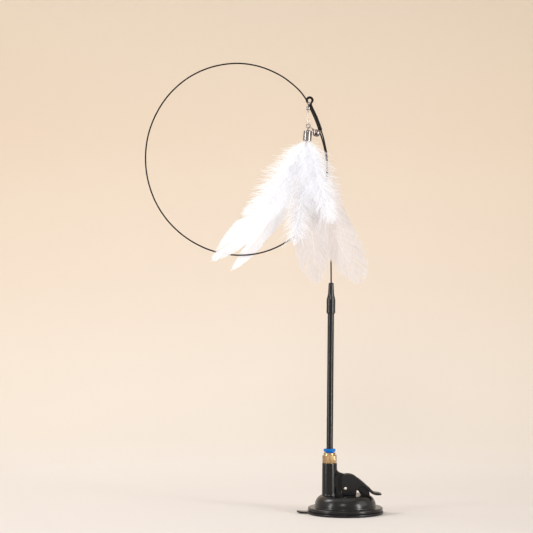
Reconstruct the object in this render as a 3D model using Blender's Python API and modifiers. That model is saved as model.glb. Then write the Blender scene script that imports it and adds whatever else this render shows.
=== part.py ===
"""A suction cup feather wand: a cup with a cam lever, a push-in fitting, a rod, a looped spring wire and feathers.

The cup stands on z = 0 and the model is centred over the origin. Lengths are in metres, with +Z up.
Heights that start with FITTING, ROD or BOOT are counted along the rod, from the deck under the tower.
"""

import math

import bmesh
import bpy
from mathutils import Matrix, Vector

CLEARANCE = 0.0003
OVERRUN = 0.001
MERGE = 0.00001
FINE_STEPS = 40
STEPS = 32
SMALL_STEPS = 20
SAMPLES = 12

# Suction pad
PAD_RADIUS = 0.0351
PAD_RIM_HEIGHT = 0.0024
PAD_RIM_WIDTH = 0.005
PAD_EDGE_ROUND = 0.0006
PAD_RECESS = 0.0017
PAD_WEB = 0.0021
PAD_BOSS_RADIUS = 0.0118
PAD_BOSS_HEIGHT = 0.0072
TAB_LENGTH = 0.0098
TAB_WIDTH = 0.009
TAB_THICKNESS = 0.0012
TAB_RAISE = 0.0006

# Housing
FLANGE_INSET = 0.0005
FLANGE_THICKNESS = 0.0032
FLANGE_ROUND = 0.001
DOME_INSET = 0.0063
DOME_SIDE = 0.0012
SHOULDER_WIDTH = 0.0078
DECK_HEIGHT = 0.017
HOUSING_WALL = 0.0023
TOWER_OFFSET = 0.0145
TOWER_TOP = 0.0464
TOWER_TOP_RADIUS = 0.0069
TOWER_FOOT_RADIUS = 0.00715
TOWER_FLARE = 0.0004
TOWER_BORE_DEPTH = 0.009
TOWER_FLAT_FACE = 0.0041
TOWER_FLAT_BOTTOM = 0.0242
TOWER_FLAT_TOP = 0.0345
BLOCK_HALF_WIDTH = 0.0036
BLOCK_TOP = 0.0396
BLOCK_NOSE_TOP = 0.0366
BLOCK_NOSE_DEPTH = 0.0042
BLOCK_NOSE_REACH = 0.003
BLOCK_EDGE = 0.0006
GROOVE_WIDTH = 0.0012
GROOVE_DEPTH = 0.0006
REST_BACK = 0.009
REST_NOTCH = 0.0115
REST_FOOT_START = 0.0153
REST_FOOT_END = 0.0228
REST_NOTCH_DEPTH = 0.002

# Plunger, pin and release spring
STEM_HALF_DEPTH = 0.0032
STEM_HALF_WIDTH = 0.0033
FOOT_RADIUS = 0.009
FOOT_THICKNESS = 0.0019
POCKET_FLOOR = 0.0017
COLLAR_RADIUS = 0.0096
COLLAR_THICKNESS = 0.0012
PIN_RADIUS = 0.0013
PIN_RECESS = 0.0005
PIN_SINK_RADIUS = 0.0022
SPRING_RADIUS = 0.0081
SPRING_WIRE_RADIUS = 0.0005
SPRING_TURNS = 2.5
SPRING_POINTS_PER_TURN = 12

# Cam lever
PIN_ABOVE_BASE = 0.0062
LEVER_THROW = math.radians(45.0)
LEVER_STROKE = 0.0016
CAM_STEPS = 8
CHEEK_INSIDE = 0.0039
CHEEK_THICKNESS = 0.0021
CHEEK_BACK = 0.0036
CHEEK_FRONT = 0.0099
CHEEK_CROWN = 0.013
LEVER_REACH = 0.0336
BRIDGE_START = 0.012
BRIDGE_END = 0.0235
HANDLE_THICKNESS = 0.0013
PADDLE_START = 0.0245
PADDLE_HALF_WIDTH = 0.0068

# Push-in fitting
HEX_ACROSS_FLATS = 0.012
HEX_TURN = math.radians(15.0)
HEX_BOTTOM = 0.0467
HEX_TOP = 0.0538
HEX_EDGE = 0.0004
NECK_TOP = 0.056
NECK_RADIUS = 0.0055
SHANK_RADIUS = 0.0049
SHANK_LENGTH = 0.0078
SHANK_END_WALL = 0.0012
SHANK_HOLE_RADIUS = 0.0024
CHAMBER_RADIUS = 0.0049
CHAMBER_FLOOR = 0.047
SEAL_SECTION = 0.00068
CLAW_THICKNESS = 0.0005
CLAW_DROP = 0.0006
CLAW_RIM = 0.0007
CLAW_COUNT = 6
CLAW_SLOT = 0.0009
RETAINER_WALL = 0.00045
RETAINER_LIP = 0.0008
RING_COLLAR_BOTTOM = 0.0571
RING_COLLAR_TOP = 0.0597
RING_COLLAR_RADIUS = 0.0055
RING_COLLAR_ROUND = 0.0007
RING_SLEEVE_WALL = 0.0007
RING_PRESS = 0.0008

# Rod and boot
WAND_LEAN = math.radians(0.5)
WAND_PIVOT = 0.0495
ROD_RADIUS = 0.003
ROD_WALL = 0.001
ROD_BOTTOM = 0.0413
BOOT_BOTTOM = 0.1846
BOOT_RADIUS = 0.00413
BOOT_SLEEVE = 0.0132
BOOT_FLARE = 0.0048
BOOT_NECK_RADIUS = 0.0029
BOOT_TIP_RADIUS = 0.0024
BOOT_LENGTH = 0.0287
BOOT_ROUND = 0.0007
ROD_IN_BOOT = 0.0116
PLUG_LENGTH = 0.012

# Spring wire
WIRE_RADIUS = 0.00055
LOOP_RADIUS = 0.086
LOOP_DEPTH = 0.009
LOOP_DEPTH_POWER = 2.2
UPRIGHT_RISE = 0.1143
UPRIGHT_BOW = 0.0044
UPRIGHT_POINTS = 8
JOINT_SHARE = 0.45
LOOP_POINTS = 66
LOWER_POINTS = 8
SLEEVE_LENGTH = 0.029
SLEEVE_RADIUS = 0.00115
SLEEVE_POINTS = 9
SLEEVE_GAP = 0.0012
NECK_POINTS = 3
EYE_RADIUS = 0.0026
EYE_ANGLE = math.radians(38.1)
EYE_SHARE = 1.004
EYE_FROM = math.radians(-40.0)
EYE_TO = math.radians(262.0)
EYE_POINTS = 14
# Distance from the loop's middle, as shares of its radius, at angles in degrees from +X
LOOP_SHARES = (
    (0.0, 0.972),
    (8.0, 0.956),
    (15.3, 0.947),
    (26.0, 0.950),
    (35.6, 0.969),
    (42.0, 0.992),
    (50.0, 1.004),
    (62.0, 1.015),
    (76.0, 1.023),
    (90.0, 1.025),
    (105.0, 1.019),
    (120.0, 1.010),
    (135.0, 0.997),
    (150.0, 0.984),
    (165.0, 0.976),
    (180.0, 0.972),
    (195.0, 0.974),
    (210.0, 0.982),
    (225.0, 0.993),
    (240.0, 1.006),
    (255.0, 1.022),
    (270.0, 1.037),
    (285.0, 1.047),
    (300.0, 1.047),
    (315.0, 1.040),
    (330.0, 1.022),
    (345.0, 0.995),
    (360.0, 0.975),
    (368.0, 0.965),
    (375.5, 0.961),
    (386.0, 0.965),
    (395.0, 0.981),
)

# Snap swivel, split ring, cap and bell
HOOK_SHIFT = 0.0013
SWIVEL_LOOP_RADIUS = 0.002
SWIVEL_WIRE = 0.0004
SHANK_WIRE = 0.0004
BARREL_RADIUS = 0.0019
BARREL_LENGTH = 0.0036
BARREL_LIP = 0.0005
BARREL_HOLE = 0.00075
BARREL_CAVITY = 0.0013
HEAD_RADIUS = 0.00098
HEAD_THICKNESS = 0.0006
SNAP_HALF_WIDTH = 0.0013
SNAP_LENGTH = 0.0128
SNAP_WIRE = 0.00035
SNAP_TURN = math.radians(45.0)
RING_RADIUS = 0.0021
RING_WIRE = 0.00045
RING_TURN = math.radians(-30.0)
BAIL_RADIUS = 0.0014
BAIL_WIRE = 0.00035
CAP_RADIUS = 0.00395
CAP_LENGTH = 0.0098
CAP_WALL = 0.0005
CAP_CROWN = 0.0014
CAP_ROUND = 0.0009
CAP_LEAN = math.radians(5.0)
BINDING_LENGTH = 0.0034
BELL_RADIUS = 0.0035
BELL_WALL = 0.0004
BELL_SLIT = 0.0009
BELL_SIDE = 0.0075
BELL_FORWARD = 0.003
BELL_DROP = 0.0088
LINK_ANGLE = math.radians(-20.0)
LINK_HALF_WIDTH = 0.0011
LINK_WIRE = 0.0003
EYELET_RADIUS = 0.0009
BELL_BALL_RADIUS = 0.0011

# Feathers
FEATHER_THICKNESS = 0.0004
FEATHER_LAYER = 0.0008
FEATHER_SPREAD = 0.0015
FEATHER_LENGTH = 0.14
FEATHER_HALF_WIDTH = 0.0165
QUILL_HALF_WIDTH = 0.00035
FEATHER_ROWS = 16
# Name, layer from front to back, then shares: of the quill's place in the cap, of the tip's place (x, z) and
# the bend's place (x, z) below the cap's mouth, of the half width, and of the lean in depth
FEATHER_SHARES = (
    ("feather_back_left", 3, 0.0, (-0.495, -0.846), (-0.167, -0.52), 0.7, 0.053),
    ("feather_right", 2, 0.85, (0.364, -0.931), (0.032, -0.449), 0.91, -0.010),
    ("feather_short_left", 1, -1.0, (-0.286, -0.5), (-0.129, -0.236), 0.82, -0.020),
    ("feather_centre", 0, 1.05, (0.047, -0.939), (0.007, -0.471), 0.82, -0.035),
    ("feather_middle", -1, 0.0, (-0.086, -0.679), (-0.021, -0.321), 0.88, -0.050),
    ("feather_left", -2, -1.0, (-0.621, -0.786), (-0.232, -0.493), 1.0, -0.070),
    ("feather_short_right", -3, 0.7, (0.164, -0.543), (0.043, -0.257), 0.79, -0.090),
)
# Half width of a vane, as shares of its widest, at shares of the feather's length
VANE_SHARES = (
    (0.0, 0.0),
    (0.06, 0.0),
    (0.12, 0.42),
    (0.22, 0.78),
    (0.38, 0.97),
    (0.55, 1.0),
    (0.72, 0.9),
    (0.86, 0.66),
    (0.95, 0.36),
    (1.0, 0.08),
)

# Sizes worked out from those above
FLANGE_RADIUS = PAD_RADIUS - FLANGE_INSET
DOME_RADIUS = FLANGE_RADIUS - DOME_INSET
FLANGE_BOTTOM = PAD_RIM_HEIGHT + CLEARANCE
FLANGE_TOP = FLANGE_BOTTOM + FLANGE_THICKNESS
SHOULDER_BASE = FLANGE_TOP + DOME_SIDE
DECK_RADIUS = DOME_RADIUS - SHOULDER_WIDTH
SHOULDER_HEIGHT = DECK_HEIGHT - SHOULDER_BASE
CEILING = DECK_HEIGHT - HOUSING_WALL
LEVER_BASE = DECK_HEIGHT + CLEARANCE
PIN_HEIGHT = LEVER_BASE + PIN_ABOVE_BASE
BLOCK_FACE = -STEM_HALF_DEPTH - CLEARANCE
STEM_TOP = PIN_HEIGHT + STEM_HALF_DEPTH
STEM_HOLE_HALF_DEPTH = STEM_HALF_DEPTH + CLEARANCE
STEM_HOLE_HALF_WIDTH = STEM_HALF_WIDTH + CLEARANCE
POCKET_BOTTOM = PAD_RECESS + POCKET_FLOOR
FOOT_BOTTOM = POCKET_BOTTOM + CLEARANCE
FOOT_TOP = FOOT_BOTTOM + FOOT_THICKNESS
COLLAR_BOTTOM = PAD_BOSS_HEIGHT + CLEARANCE
COLLAR_TOP = COLLAR_BOTTOM + COLLAR_THICKNESS
CHEEK_OUTSIDE = CHEEK_INSIDE + CHEEK_THICKNESS
TOWER_FLOOR = TOWER_TOP - TOWER_BORE_DEPTH
SHANK_BOTTOM = HEX_BOTTOM - SHANK_LENGTH
ROD_STOP = ROD_BOTTOM - CLEARANCE
ROD_HOLE_RADIUS = ROD_RADIUS + CLEARANCE
SEAL_MIDDLE = (ROD_HOLE_RADIUS + CHAMBER_RADIUS - CLEARANCE / 2) / 2
SEAL_TOP = CHAMBER_FLOOR + CLEARANCE + 2 * SEAL_SECTION
CLAW_BOTTOM = SEAL_TOP + CLEARANCE
CLAW_TOP = CLAW_BOTTOM + CLAW_DROP + CLAW_THICKNESS
RETAINER_BOTTOM = CLAW_TOP + CLEARANCE
RING_SLEEVE_BOTTOM = CLAW_TOP + RING_PRESS + CLEARANCE
BOOT_TOP = BOOT_BOTTOM + BOOT_LENGTH
ROD_TOP = BOOT_BOTTOM + ROD_IN_BOOT
WIRE_HOLE_RADIUS = WIRE_RADIUS + CLEARANCE
FLEX_HEIGHT = BOOT_TOP + CLEARANCE
HOOK_HEIGHT = EYE_RADIUS - WIRE_RADIUS - CLEARANCE - SWIVEL_WIRE
WAND_SHIFT = WAND_PIVOT * math.sin(WAND_LEAN)
WAND_DROP = WAND_PIVOT * (1 - math.cos(WAND_LEAN))
FLEX_X = -TOWER_OFFSET - WAND_SHIFT + FLEX_HEIGHT * math.sin(WAND_LEAN)
LOOP_START_X = FLEX_X - UPRIGHT_BOW
LOOP_X = LOOP_START_X - LOOP_SHARES[0][1] * LOOP_RADIUS
LOOP_Z = WAND_DROP + FLEX_HEIGHT * math.cos(WAND_LEAN) + UPRIGHT_RISE
LOOP_LEFT = LOOP_X - LOOP_RADIUS * min(share for angle, share in LOOP_SHARES if 150 < angle < 210)
BASE_X = -(LOOP_LEFT - WIRE_RADIUS + PAD_RADIUS) / 2


def clear_scene():
    for item in list(bpy.data.objects):
        bpy.data.objects.remove(item, do_unlink=True)
    for group in list(bpy.data.collections):
        bpy.data.collections.remove(group)


def new_collection(name):
    group = bpy.data.collections.new(name)
    bpy.context.scene.collection.children.link(group)
    return group


clear_scene()
PARTS = new_collection("feather_wand")
CUTTERS = new_collection("cutters")
GUIDES = new_collection("guides")


def new_material(name, colour, roughness, metallic=0.0):
    material = bpy.data.materials.new(name)
    material.use_nodes = True
    shader = material.node_tree.nodes["Principled BSDF"]
    shader.inputs["Base Color"].default_value = (*colour, 1.0)
    shader.inputs["Roughness"].default_value = roughness
    shader.inputs["Metallic"].default_value = metallic
    return material


def new_object(name, data, parent=None, place=(0, 0, 0), group=PARTS):
    item = bpy.data.objects.new(name, data)
    group.objects.link(item)
    item.parent = parent
    item.location = place
    return item


def new_axis(name, parent=None, place=(0, 0, 0), turn=(0, 0, 0)):
    axis = new_object(name, None, parent, place, GUIDES)
    axis.rotation_euler = turn
    return axis


def finish(item, material):
    """Gives an object its material and smooth shading."""
    item.data.materials.clear()
    item.data.materials.append(material)
    item.data.shade_smooth()
    item.data.set_sharp_from_angle(angle=math.radians(35.0))
    return item


def as_cutter(item):
    item.hide_render = True
    item.display_type = "WIRE"
    return item


def turned(name, profile, parent=None, place=(0, 0, 0), steps=STEPS, group=PARTS, closed=False):
    """Turns a profile of (radius, height) points, which runs down its outer side, about Z."""
    mesh = bpy.data.meshes.new(name)
    points = [(r, 0, z) for r, z in profile]
    last = len(points)
    edges = [(i, i + 1) for i in range(last - 1)]
    if closed:
        edges.append((last - 1, 0))
    mesh.from_pydata(points, edges, [])
    item = new_object(name, mesh, parent, place, group)
    screw = item.modifiers.new("turn", "SCREW")
    screw.axis = "Z"
    screw.steps = steps
    screw.render_steps = steps
    screw.use_merge_vertices = True
    screw.merge_threshold = MERGE
    screw.use_smooth_shade = True
    return item


def disc(name, radius, low, high, parent=None, place=(0, 0, 0), steps=STEPS, group=PARTS):
    return turned(name, [(0, high), (radius, high), (radius, low), (0, low)], parent, place, steps, group)


def ring_profile(inner, outer, low, high):
    return [(inner, high), (outer, high), (outer, low), (inner, low)]


def box(name, low, high, parent=None, place=(0, 0, 0), group=PARTS):
    mesh = bpy.data.meshes.new(name)
    shape = bmesh.new()
    bmesh.ops.create_cube(shape, size=1.0)
    for vertex in shape.verts:
        for axis in range(3):
            middle = (low[axis] + high[axis]) / 2
            vertex.co[axis] = middle + vertex.co[axis] * (high[axis] - low[axis])
    shape.to_mesh(mesh)
    shape.free()
    return new_object(name, mesh, parent, place, group)


def prism(name, radius, low, high, sides, turn, parent=None, place=(0, 0, 0), group=PARTS):
    mesh = bpy.data.meshes.new(name)
    shape = bmesh.new()
    bmesh.ops.create_cone(
        shape,
        cap_ends=True,
        segments=sides,
        radius1=radius,
        radius2=radius,
        depth=high - low,
        matrix=Matrix.Translation((0, 0, (low + high) / 2)) @ Matrix.Rotation(turn, 4, "Z"),
    )
    shape.to_mesh(mesh)
    shape.free()
    return new_object(name, mesh, parent, place, group)


def mesh_of(item):
    """Replaces a curve object by the same shape as a mesh, with its caps welded."""
    bpy.context.view_layer.update()
    graph = bpy.context.evaluated_depsgraph_get()
    mesh = bpy.data.meshes.new_from_object(item.evaluated_get(graph))
    shape = bmesh.new()
    shape.from_mesh(mesh)
    bmesh.ops.remove_doubles(shape, verts=shape.verts, dist=MERGE)
    bmesh.ops.recalc_face_normals(shape, faces=shape.faces)
    shape.to_mesh(mesh)
    shape.free()
    name, parent, world, group = item.name, item.parent, item.matrix_world.copy(), item.users_collection[0]
    bpy.data.objects.remove(item, do_unlink=True)
    solid = new_object(name, mesh, parent, group=group)
    solid.matrix_world = world
    return solid


def extruded(name, outline, low, high, parent=None, place=(0, 0, 0), group=PARTS, flat=False):
    """A solid from an outline: of (x, z) points from y = low to high, or flat, of (x, y) points along z."""
    curve = bpy.data.curves.new(name, "CURVE")
    curve.dimensions = "2D"
    curve.fill_mode = "BOTH"
    curve.extrude = (high - low) / 2
    spline = curve.splines.new("POLY")
    spline.points.add(len(outline) - 1)
    for point, (x, y) in zip(spline.points, outline):
        point.co = (x, y, 0, 1)
    spline.use_cyclic_u = True
    solid = mesh_of(new_object(name, curve, None, (0, 0, 0), group))
    middle = (low + high) / 2
    if flat:
        solid.data.transform(Matrix.Translation((0, 0, middle)))
    else:
        solid.data.transform(Matrix.Translation((0, middle, 0)) @ Matrix.Rotation(math.pi / 2, 4, "X"))
    solid.parent = parent
    solid.location = place
    return solid


def tube(name, points, radius, parent=None, place=(0, 0, 0), fineness=2, cyclic=False, group=PARTS):
    curve = bpy.data.curves.new(name, "CURVE")
    curve.dimensions = "3D"
    curve.bevel_depth = radius
    curve.bevel_resolution = fineness
    curve.use_fill_caps = not cyclic
    curve.twist_mode = "MINIMUM"
    spline = curve.splines.new("POLY")
    spline.points.add(len(points) - 1)
    for point, place_on_route in zip(spline.points, points):
        point.co = (*place_on_route, 1)
    spline.use_cyclic_u = cyclic
    return new_object(name, curve, parent, place, group)


def combine(item, other, operation):
    modifier = item.modifiers.new(operation.lower() + "_" + other.name, "BOOLEAN")
    modifier.operation = operation
    modifier.solver = "EXACT"
    modifier.object = other
    as_cutter(other)
    if other.name not in CUTTERS.objects:
        for group in list(other.users_collection):
            group.objects.unlink(other)
        CUTTERS.objects.link(other)
    return modifier


def cut(item, other):
    return combine(item, other, "DIFFERENCE")


def join(item, other):
    return combine(item, other, "UNION")


def rounded(item, width, segments=2, angle=40.0):
    bevel = item.modifiers.new("edges", "BEVEL")
    bevel.width = width
    bevel.segments = segments
    bevel.limit_method = "ANGLE"
    bevel.angle_limit = math.radians(angle)
    return item


def arc(middle, width, height, start, stop, count):
    """Points on an ellipse's quarter or part, from one angle in degrees to another."""
    points = []
    for i in range(count + 1):
        angle = math.radians(start + (stop - start) * i / count)
        points.append((middle[0] + width * math.cos(angle), middle[1] + height * math.sin(angle)))
    return points


def smooth(points, count):
    """Evenly counted points on a smooth curve through the given ones."""
    padded = [2 * points[0] - points[1], *points, 2 * points[-1] - points[-2]]
    spans = len(points) - 1
    samples = []
    for i in range(spans * SAMPLES + 1):
        at = min(i / SAMPLES, spans - MERGE)
        k = int(at)
        t = at - k
        a, b, c, d = padded[k : k + 4]
        samples.append(
            (b * 2 + (c - a) * t + (a * 2 - b * 5 + c * 4 - d) * t**2 + (b * 3 - a - c * 3 + d) * t**3) / 2
        )
    return spaced(samples, count)


def spaced(samples, count):
    """The same route, with its points at even distances."""
    lengths = [0.0]
    for near, far in zip(samples, samples[1:]):
        lengths.append(lengths[-1] + (far - near).length)
    even = []
    k = 0
    for i in range(count):
        wanted = lengths[-1] * i / (count - 1)
        while k < len(samples) - 2 and lengths[k + 1] < wanted:
            k += 1
        share = (wanted - lengths[k]) / max(lengths[k + 1] - lengths[k], MERGE / 1000)
        even.append(samples[k].lerp(samples[k + 1], min(max(share, 0.0), 1.0)))
    return even


def share_at(table, at):
    """Reads a table of (place, share) pairs between its rows."""
    for (x0, y0), (x1, y1) in zip(table, table[1:]):
        if at <= x1:
            return y0 + (y1 - y0) * (at - x0) / (x1 - x0)
    return table[-1][1]


BLACK_PLASTIC = new_material("black_plastic", (0.018, 0.018, 0.02), 0.38)
BLACK_RUBBER = new_material("black_rubber", (0.015, 0.015, 0.016), 0.5)
WHITE_PLASTIC = new_material("white_plastic", (0.75, 0.75, 0.72), 0.45)
BLUE_PLASTIC = new_material("blue_plastic", (0.006, 0.14, 0.45), 0.3)
STEEL = new_material("steel", (0.62, 0.61, 0.6), 0.28, 1.0)
BRASS = new_material("brass", (0.62, 0.41, 0.2), 0.3, 1.0)
CHROME = new_material("chrome", (0.8, 0.79, 0.78), 0.12, 1.0)
BLACK_ROD = new_material("black_rod", (0.014, 0.014, 0.015), 0.25)
BLACK_SLEEVE = new_material("black_sleeve", (0.012, 0.012, 0.013), 0.2)
BLACK_WIRE = new_material("black_wire", (0.02, 0.018, 0.017), 0.35)
GLUE = new_material("glue", (0.7, 0.66, 0.55), 0.4)
FEATHER = new_material("white_feather", (0.9, 0.89, 0.88), 0.8)

BASE = new_axis("base_centre", place=(BASE_X, 0, 0))
PIN_AXIS = new_axis("pin_axis", BASE, (0, 0, PIN_HEIGHT))
TOWER_AXIS = new_axis("tower_axis", BASE, (-TOWER_OFFSET, 0, 0))
WAND_AXIS = new_axis("wand_axis", TOWER_AXIS, (-WAND_SHIFT, 0, WAND_DROP), (0, WAND_LEAN, 0))


def make_suction_pad():
    rim_inside = PAD_RADIUS - PAD_RIM_WIDTH
    hollow = arc((0, 0), rim_inside, PAD_RECESS, 0, 90, 6)
    web_edge = DOME_RADIUS - HOUSING_WALL - 2 * CLEARANCE
    profile = [
        (0, PAD_BOSS_HEIGHT),
        (PAD_BOSS_RADIUS - PAD_EDGE_ROUND, PAD_BOSS_HEIGHT),
        (PAD_BOSS_RADIUS, PAD_BOSS_HEIGHT - PAD_EDGE_ROUND),
        (PAD_BOSS_RADIUS, PAD_RECESS + PAD_WEB),
        ((PAD_BOSS_RADIUS + web_edge) / 2, PAD_RECESS + PAD_WEB - PAD_EDGE_ROUND / 2),
        (web_edge - PAD_EDGE_ROUND, PAD_RIM_HEIGHT),
        (PAD_RADIUS - PAD_EDGE_ROUND, PAD_RIM_HEIGHT),
        (PAD_RADIUS, PAD_RIM_HEIGHT - PAD_EDGE_ROUND),
        (PAD_RADIUS, PAD_EDGE_ROUND),
        (PAD_RADIUS - PAD_EDGE_ROUND, 0),
        *hollow,
    ]
    pad = turned("suction_pad", profile, BASE, steps=FINE_STEPS)
    end = -PAD_RADIUS - TAB_LENGTH + TAB_WIDTH / 2
    tab_points = [(-rim_inside, TAB_WIDTH / 2 + 2 * OVERRUN), (-PAD_RADIUS, TAB_WIDTH / 2 + OVERRUN)]
    tab_points += [(-PAD_RADIUS - OVERRUN, TAB_WIDTH / 2)]
    tab_points += arc((end, 0), TAB_WIDTH / 2, TAB_WIDTH / 2, 90, 270, 10)
    tab_points += [(x, -y) for x, y in reversed(tab_points[:3])]
    tab_top = TAB_RAISE + TAB_THICKNESS
    tab = extruded("pad_tab", tab_points, TAB_RAISE, tab_top, BASE, group=CUTTERS, flat=True)
    join(pad, tab)
    cut(pad, disc("pad_pocket", FOOT_RADIUS + CLEARANCE, POCKET_BOTTOM, FOOT_TOP + CLEARANCE, BASE, group=CUTTERS))
    hole = box(
        "pad_stem_hole",
        (-STEM_HOLE_HALF_DEPTH, -STEM_HOLE_HALF_WIDTH, POCKET_BOTTOM + CLEARANCE),
        (STEM_HOLE_HALF_DEPTH, STEM_HOLE_HALF_WIDTH, PAD_BOSS_HEIGHT + OVERRUN),
        BASE,
        group=CUTTERS,
    )
    cut(pad, hole)
    finish(pad, BLACK_RUBBER)


def housing_profile():
    inside_width = SHOULDER_WIDTH
    inside_height = CEILING - SHOULDER_BASE
    inner = DOME_RADIUS - HOUSING_WALL
    return [
        *arc((DECK_RADIUS, SHOULDER_BASE), SHOULDER_WIDTH, SHOULDER_HEIGHT, 90, 0, 6),
        (DOME_RADIUS, FLANGE_TOP + DOME_SIDE / 2),
        (DOME_RADIUS + DOME_SIDE / 3, FLANGE_TOP),
        (FLANGE_RADIUS - FLANGE_ROUND, FLANGE_TOP),
        (FLANGE_RADIUS - FLANGE_ROUND / 3, FLANGE_TOP - FLANGE_ROUND / 3),
        (FLANGE_RADIUS, FLANGE_TOP - FLANGE_ROUND),
        (FLANGE_RADIUS, FLANGE_BOTTOM),
        (inner, FLANGE_BOTTOM),
        *arc((inner - inside_width, SHOULDER_BASE), inside_width, inside_height, 0, 90, 4),
    ]


def tower_profile():
    foot = DECK_HEIGHT - HOUSING_WALL / 3
    return [
        (0, TOWER_TOP),
        (TOWER_TOP_RADIUS - BLOCK_EDGE / 3, TOWER_TOP),
        (TOWER_TOP_RADIUS, TOWER_TOP - BLOCK_EDGE / 3),
        (TOWER_FOOT_RADIUS, DECK_HEIGHT + TOWER_FLARE),
        (TOWER_FOOT_RADIUS + TOWER_FLARE / 3, DECK_HEIGHT + TOWER_FLARE / 3),
        (TOWER_FOOT_RADIUS + TOWER_FLARE, DECK_HEIGHT),
        (TOWER_FOOT_RADIUS + TOWER_FLARE, foot),
        (0, foot),
    ]


def rest_outline():
    """The rib that the shut handle lies over: it rises between the handle's sides, a clearance below its roof."""
    foot = -PIN_ABOVE_BASE - CLEARANCE - HOUSING_WALL / 2
    roof = [(x - CLEARANCE, z - CLEARANCE) for x, z in handle_roof() if x > REST_NOTCH + HANDLE_THICKNESS]
    edge = roof[-1][0]
    underside = [z for x, z in lever_inner() if x < edge][0]
    return [
        (REST_FOOT_START, foot),
        (REST_FOOT_END, foot),
        (edge, underside - CLEARANCE),
        *reversed(roof),
        (REST_BACK, roof[0][1]),
        (REST_BACK, -REST_NOTCH_DEPTH),
        (REST_NOTCH, -REST_NOTCH_DEPTH),
    ]


def make_base_housing():
    profile = [(0, DECK_HEIGHT), *housing_profile(), (0, CEILING)]
    housing = turned("base_housing", profile, BASE, steps=FINE_STEPS)
    tower = turned("tower", tower_profile(), TOWER_AXIS, steps=STEPS, group=CUTTERS)
    join(housing, tower)
    for side in (-1, 1):
        low, high = sorted((side * BLOCK_HALF_WIDTH / 2, side * (TOWER_FOOT_RADIUS + OVERRUN)))
        flat = box(
            "flat_front" if side < 0 else "flat_back",
            (-TOWER_OFFSET + TOWER_FLAT_FACE, low, TOWER_FLAT_BOTTOM),
            (BLOCK_FACE, high, TOWER_FLAT_TOP),
            BASE,
            group=CUTTERS,
        )
        cut(housing, flat)
    tower_edge = -TOWER_OFFSET + TOWER_FOOT_RADIUS
    foot = DECK_HEIGHT - HOUSING_WALL / 2
    nose = BLOCK_FACE + BLOCK_NOSE_REACH
    nose_low = BLOCK_NOSE_TOP - BLOCK_NOSE_DEPTH
    outline = [
        (-TOWER_OFFSET + BLOCK_EDGE, foot),
        (BLOCK_FACE, foot),
        (BLOCK_FACE, nose_low - BLOCK_NOSE_REACH / 2),
        (nose, nose_low + BLOCK_EDGE),
        (nose, BLOCK_NOSE_TOP - BLOCK_EDGE),
        (nose - BLOCK_EDGE, BLOCK_NOSE_TOP),
        (BLOCK_FACE, BLOCK_NOSE_TOP + BLOCK_EDGE),
        ((BLOCK_FACE + tower_edge) / 2, (BLOCK_NOSE_TOP + BLOCK_TOP) / 2 - BLOCK_EDGE / 3),
        (tower_edge, BLOCK_TOP - 2 * BLOCK_EDGE),
        (tower_edge - BLOCK_EDGE, BLOCK_TOP),
        (-TOWER_OFFSET + BLOCK_EDGE, BLOCK_TOP),
    ]
    block = extruded("lever_block", outline, -BLOCK_HALF_WIDTH, BLOCK_HALF_WIDTH, BASE, group=CUTTERS)
    join(housing, block)
    rest = extruded("handle_rest", rest_outline(), -BLOCK_HALF_WIDTH, BLOCK_HALF_WIDTH, PIN_AXIS, group=CUTTERS)
    join(housing, rest)
    middle = (BLOCK_FACE + tower_edge) / 2
    for side in (-1, 1):
        face = side * BLOCK_HALF_WIDTH
        low, high = sorted((face - side * GROOVE_DEPTH, face + side * OVERRUN))
        groove = box(
            "groove_front" if side < 0 else "groove_back",
            (middle - GROOVE_WIDTH / 2, low, DECK_HEIGHT + BLOCK_EDGE),
            (middle + GROOVE_WIDTH / 2, high, nose_low + BLOCK_EDGE),
            BASE,
            group=CUTTERS,
        )
        cut(housing, groove)
    hole = box(
        "deck_stem_hole",
        (-STEM_HOLE_HALF_DEPTH, -STEM_HOLE_HALF_WIDTH, CEILING - OVERRUN),
        (STEM_HOLE_HALF_DEPTH, STEM_HOLE_HALF_WIDTH, DECK_HEIGHT + OVERRUN),
        BASE,
        group=CUTTERS,
    )
    cut(housing, hole)
    bore_radius = SHANK_RADIUS + 2 * CLEARANCE
    cut(housing, disc("tower_bore", bore_radius, TOWER_FLOOR, TOWER_TOP + OVERRUN, TOWER_AXIS, group=CUTTERS))
    finish(housing, BLACK_PLASTIC)


def make_plunger():
    outline = [(-STEM_HALF_DEPTH, FOOT_BOTTOM + CLEARANCE), (STEM_HALF_DEPTH, FOOT_BOTTOM + CLEARANCE)]
    outline += arc((0, PIN_HEIGHT), STEM_HALF_DEPTH, STEM_HALF_DEPTH, 0, 180, 10)
    plunger = extruded("pad_plunger", outline, -STEM_HALF_WIDTH, STEM_HALF_WIDTH, BASE)
    join(plunger, disc("plunger_foot", FOOT_RADIUS, FOOT_BOTTOM, FOOT_TOP, BASE, group=CUTTERS))
    join(plunger, disc("plunger_collar", COLLAR_RADIUS, COLLAR_BOTTOM, COLLAR_TOP, BASE, group=CUTTERS))
    half = STEM_HALF_WIDTH + OVERRUN
    hole = disc("pin_hole", PIN_RADIUS + CLEARANCE, -half, half, PIN_AXIS, steps=SMALL_STEPS, group=CUTTERS)
    hole.rotation_euler = (math.pi / 2, 0, 0)
    cut(plunger, hole)
    finish(plunger, BLACK_PLASTIC)
    half_pin = CHEEK_OUTSIDE - PIN_RECESS
    pin = disc("lever_pin", PIN_RADIUS, -half_pin, half_pin, PIN_AXIS, steps=SMALL_STEPS)
    pin.rotation_euler = (math.pi / 2, 0, 0)
    finish(pin, STEEL)


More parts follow.
